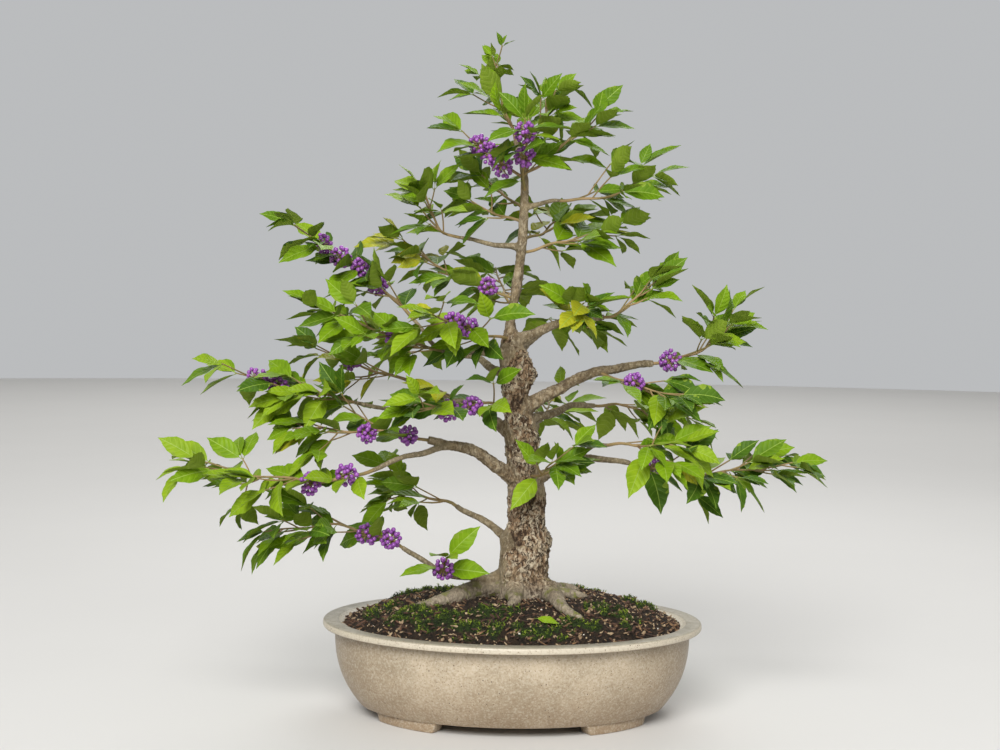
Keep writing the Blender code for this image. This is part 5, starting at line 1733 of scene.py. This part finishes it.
def build_fruit(masses, beads, tubes, looks):
    """Clusters of berries on forked stalks, berry by berry."""
    places = []
    turns = []
    sizes = []
    stalks = []
    for mass in masses:
        for number, (centre, radius) in enumerate(mass.fruit):
            draw = random.Random(f"{mass.name} berries {number}")
            near = [leaf for leaf, _tint, _kind in mass.leaves if np.linalg.norm(leaf[0] - centre) < radius]
            spin = draw.uniform(0, math.tau)
            for count in range(BERRIES):
                height = 1 - 2 * (count + 0.5) / BERRIES
                turn = spin + count * GOLDEN_TURN
                flat = math.sqrt(1 - height**2)
                out = unit(point_at(turn, flat, flat, height) + scattered(draw, BERRY_SCATTER))
                if draw.random() < MISSING_SHARE:
                    continue
                size = BERRY_RADIUS * draw.uniform(*BERRY_SIZES)
                place = centre + out * (radius - size) * draw.uniform(*BERRY_DEPTHS)
                if any(off_line(place, leaf) < size for leaf in near):
                    continue
                places.append(place)
                turns.append(facing(*crossed(out)))
                sizes.append(size)
                fork = centre + out * radius * FORK_SHARE + scattered(draw, FORK_SCATTER)
                line = np.array([centre, fork, place - out * size * PEDICEL_SINK])
                stalks.append((line, [PEDICEL_RADIUS * PEDICEL_FOOT, PEDICEL_RADIUS, PEDICEL_RADIUS]))
    berry = unit_piece("berry_shape", *berry_shape())
    berry.data.shade_smooth()
    spots = on_points("berries", places, turns, sizes)
    berries = grown(spots, beads, {"Bead": berry, "Material": looks["berry"]})
    bpy.data.objects.remove(berry, do_unlink=True)
    return [berries, line_piece("fruit_stalks", stalks, tubes, 4, looks["stalk"])]


def scattered(draw, reach):
    """A random step of up to a reach each way."""
    return vec(*[draw.uniform(-reach, reach) for _axis in range(3)])


def off_line(point, leaf):
    """How far a point is from the middle line of a leaf."""
    base, heading, _face, length = leaf
    share = min(max(float((point - base) @ heading), 0.0), length)
    return float(np.linalg.norm(point - base - heading * share))


def crossed(out):
    """A direction across out, and out itself, as a heading and a face."""
    side = unit(np.cross(out, vec(0.3, 0.2, 0.93)) + vec(1e-6, 0, 0))
    return side, out


# Stage

def build_stage():
    """A wide pale floor, soft lights and the camera at the photograph's angle. One light hangs over the
    far floor, so that it ends as pale as it starts."""
    made, tree, shader, place = new_finish("matt pale studio floor", IOR=1.45)
    # It drifts barely, in patches about 0.3 m across.
    cloud = add(tree, "ShaderNodeTexNoise", {"Vector": place, "Scale": 3.0, "Detail": 3.0})
    ends = {0: cloud, 6: linear("#D2D0CC"), 7: linear("#D7D5D1")}
    pale = add(tree, "ShaderNodeMix", ends, data_type="RGBA")
    dull = add(tree, "ShaderNodeMapRange", {0: cloud, 3: 0.75, 4: 0.9})
    feed(tree, shader, {"Base Color": pale, "Roughness": dull})
    turns = np.linspace(0, math.tau, FLOOR_SIDES, endpoint=False)
    ring = [point_at(turn, FLOOR_REACH, FLOOR_REACH, 0.0) for turn in turns]
    floor = add_piece("studio_floor", ring, [tuple(range(FLOOR_SIDES))], made)

    world = bpy.data.worlds.new("soft studio air")
    world.use_nodes = True
    sky = world.node_tree
    # Air glows more behind the tree than in front of it.
    way = add(sky, "ShaderNodeTexCoord").outputs["Generated"]
    deep = add(sky, "ShaderNodeSeparateXYZ", {0: way}).outputs[1]
    glow = add(sky, "ShaderNodeMapRange", {0: deep, 1: -0.2, 2: 0.9, 3: 0.30, 4: 0.58})
    feed(sky, sky.nodes["Background"], {"Color": linear("#EEF0F2"), "Strength": glow})
    bpy.context.scene.world = world

    for name, place, aim, width, power in LIGHTS:
        light = bpy.data.lights.new(name, "AREA")
        light.shape = "SQUARE"
        light.size = width
        light.energy = power
        obj = bpy.data.objects.new(name, light)
        obj.location = Vector(MIDDLE) + Vector(place)
        obj.rotation_euler = (Vector(aim) - Vector(place)).to_track_quat("-Z", "Y").to_euler()
        obj.visible_camera = False
        bpy.context.scene.collection.objects.link(obj)

    lens = bpy.data.cameras.new("camera")
    lens.sensor_width = CAMERA_SENSOR
    lens.lens = CAMERA_LENS
    camera = bpy.data.objects.new("camera", lens)
    place = Matrix.Translation(Vector(MIDDLE) + Vector(CAMERA_PLACE))
    tilt = Matrix.Rotation(math.radians(90 - CAMERA_DIP), 4, "X")
    roll = Matrix.Rotation(math.radians(CAMERA_ROLL), 4, "Z")
    camera.matrix_world = place @ tilt @ roll
    bpy.context.scene.collection.objects.link(camera)
    bpy.context.scene.camera = camera
    bpy.context.scene.view_settings.view_transform = "Standard"


def dress():
    """Makes every piece and ties it to the frame."""
    lines = limb_lines()
    masses = grow_masses(lines)
    tubes = twig_tree()
    sprays = spray_tree()
    beads = bead_tree()
    strewn = scatter_tree()

    pots = build_pot(stoneware_glaze())
    # Bark is dull and drifts from dark to tan, grit is dry and chalky, and moss is matt and yellower at its
    # tips. Each pair of colours drifts in patches of a size in metres.
    soils = build_soil({
        "fines": damp_ground(),
        "chips": plain_growth("broken pine bark chips", ("#24170F", "#644633"), 0.004, (0.75, 0.92)),
        "slivers": plain_growth("pine bark slivers", ("#3C261A", "#957350"), 0.005, (0.75, 0.92)),
        "flakes": plain_growth("pale bark flakes", ("#7E654A", "#B9A180"), 0.006, (0.8, 0.95)),
        "crumbs": plain_growth("compost crumbs", ("#150F0A", "#3B2B1E"), 0.004, (0.85, 0.95)),
        "grit": plain_growth("tan fired clay grit", ("#8F7B5E", "#B39D7C"), 0.006, (0.8, 0.95)),
        "pumice": plain_growth("pale pumice grit", ("#CFC8B8", "#E2DCCF"), 0.004, (0.8, 0.95)),
        "moss": plain_growth("cushion moss", ("#25340C", "#536A18"), 0.009, (0.7, 0.9)),
        "moss_tips": plain_growth("fresh moss tips", ("#647E18", "#9CAE30"), 0.005, (0.7, 0.9)),
    }, strewn)
    bark = build_bark(lines, bark_tree(), mature_bark())
    # Young twigs are smooth, tan with a green cast.
    twigs = line_piece(
        "twigs", [(twig.line, twig.radii) for mass in masses for twig in mass.twigs], tubes, 6,
        plain_growth("young twig bark", ("#9A8058", "#7E7044"), 0.012, (0.55, 0.75), 0.0002, IOR=1.4),
    )
    # Leaf greens: two for the blade, which drift, and one for its veins.
    greens = {
        "fresh": ("#73940E", "#64840C", "#8FAA34"), "mid": ("#5E7F0E", "#50700C", "#7C9A30"),
        "pale": ("#849F1A", "#759214", "#9FB644"), "deep": ("#4A6B14", "#3D5C12", "#6C8A38"),
        "yellow": ("#A3A322", "#90941C", "#B8BA50"),
    }
    looks = {
        tint: leaf_skin(f"beautyberry leaf {tint}", colours, (0.45, 0.6), 0.0006)
        for tint, colours in greens.items()
    }
    # Undersides are paler, duller and downy, ribs paler still, and berries waxy and glossy.
    looks["underside"] = leaf_skin(
        "downy leaf underside", ("#7F962E", "#708726", "#A0AE58"), (0.65, 0.8), 0.0003, 0.15,
    )
    looks["rib"] = plain_growth("leaf rib and stalk", ("#8FA83E", "#829A36"), 0.01, (0.5, 0.7), 0.0001)
    looks["berry"] = plain_growth(
        "glossy berry skin", ("#9C58AC", "#86469A"), 0.006, (0.18, 0.3), 0.0001,
        IOR=1.45, Coat_Weight=0.3, Coat_Roughness=0.12,
    )
    looks["stalk"] = plain_growth("fruit stalk", ("#9C8A55", "#8A7A48"), 0.006, (0.55, 0.7), 0.0001)
    leaves = build_leaves(masses, sprays, looks)
    fruit = build_fruit(masses, beads, tubes, looks)

    foliage = [name for name in frame["nodes"] if name.startswith("leaves_")]
    limbs = [name for name in frame["nodes"] if name == "trunk" or name.startswith("bough_")]
    for pieces, nodes, slot in (
        (pots, ["pot"], "glazed_stoneware"), (soils, ["soil"], "soil"), ([bark], limbs, "bark"),
        ([twigs], foliage, "bark"), (leaves, foliage, "foliage"), (fruit, foliage, "foliage"),
    ):
        for piece in pieces:
            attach(piece, "root")
            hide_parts(*nodes)
    for kind in ("leaves", "twigs", "fruit"):
        print(kind, sum(len(getattr(mass, kind)) for mass in masses))


dress()
build_stage()
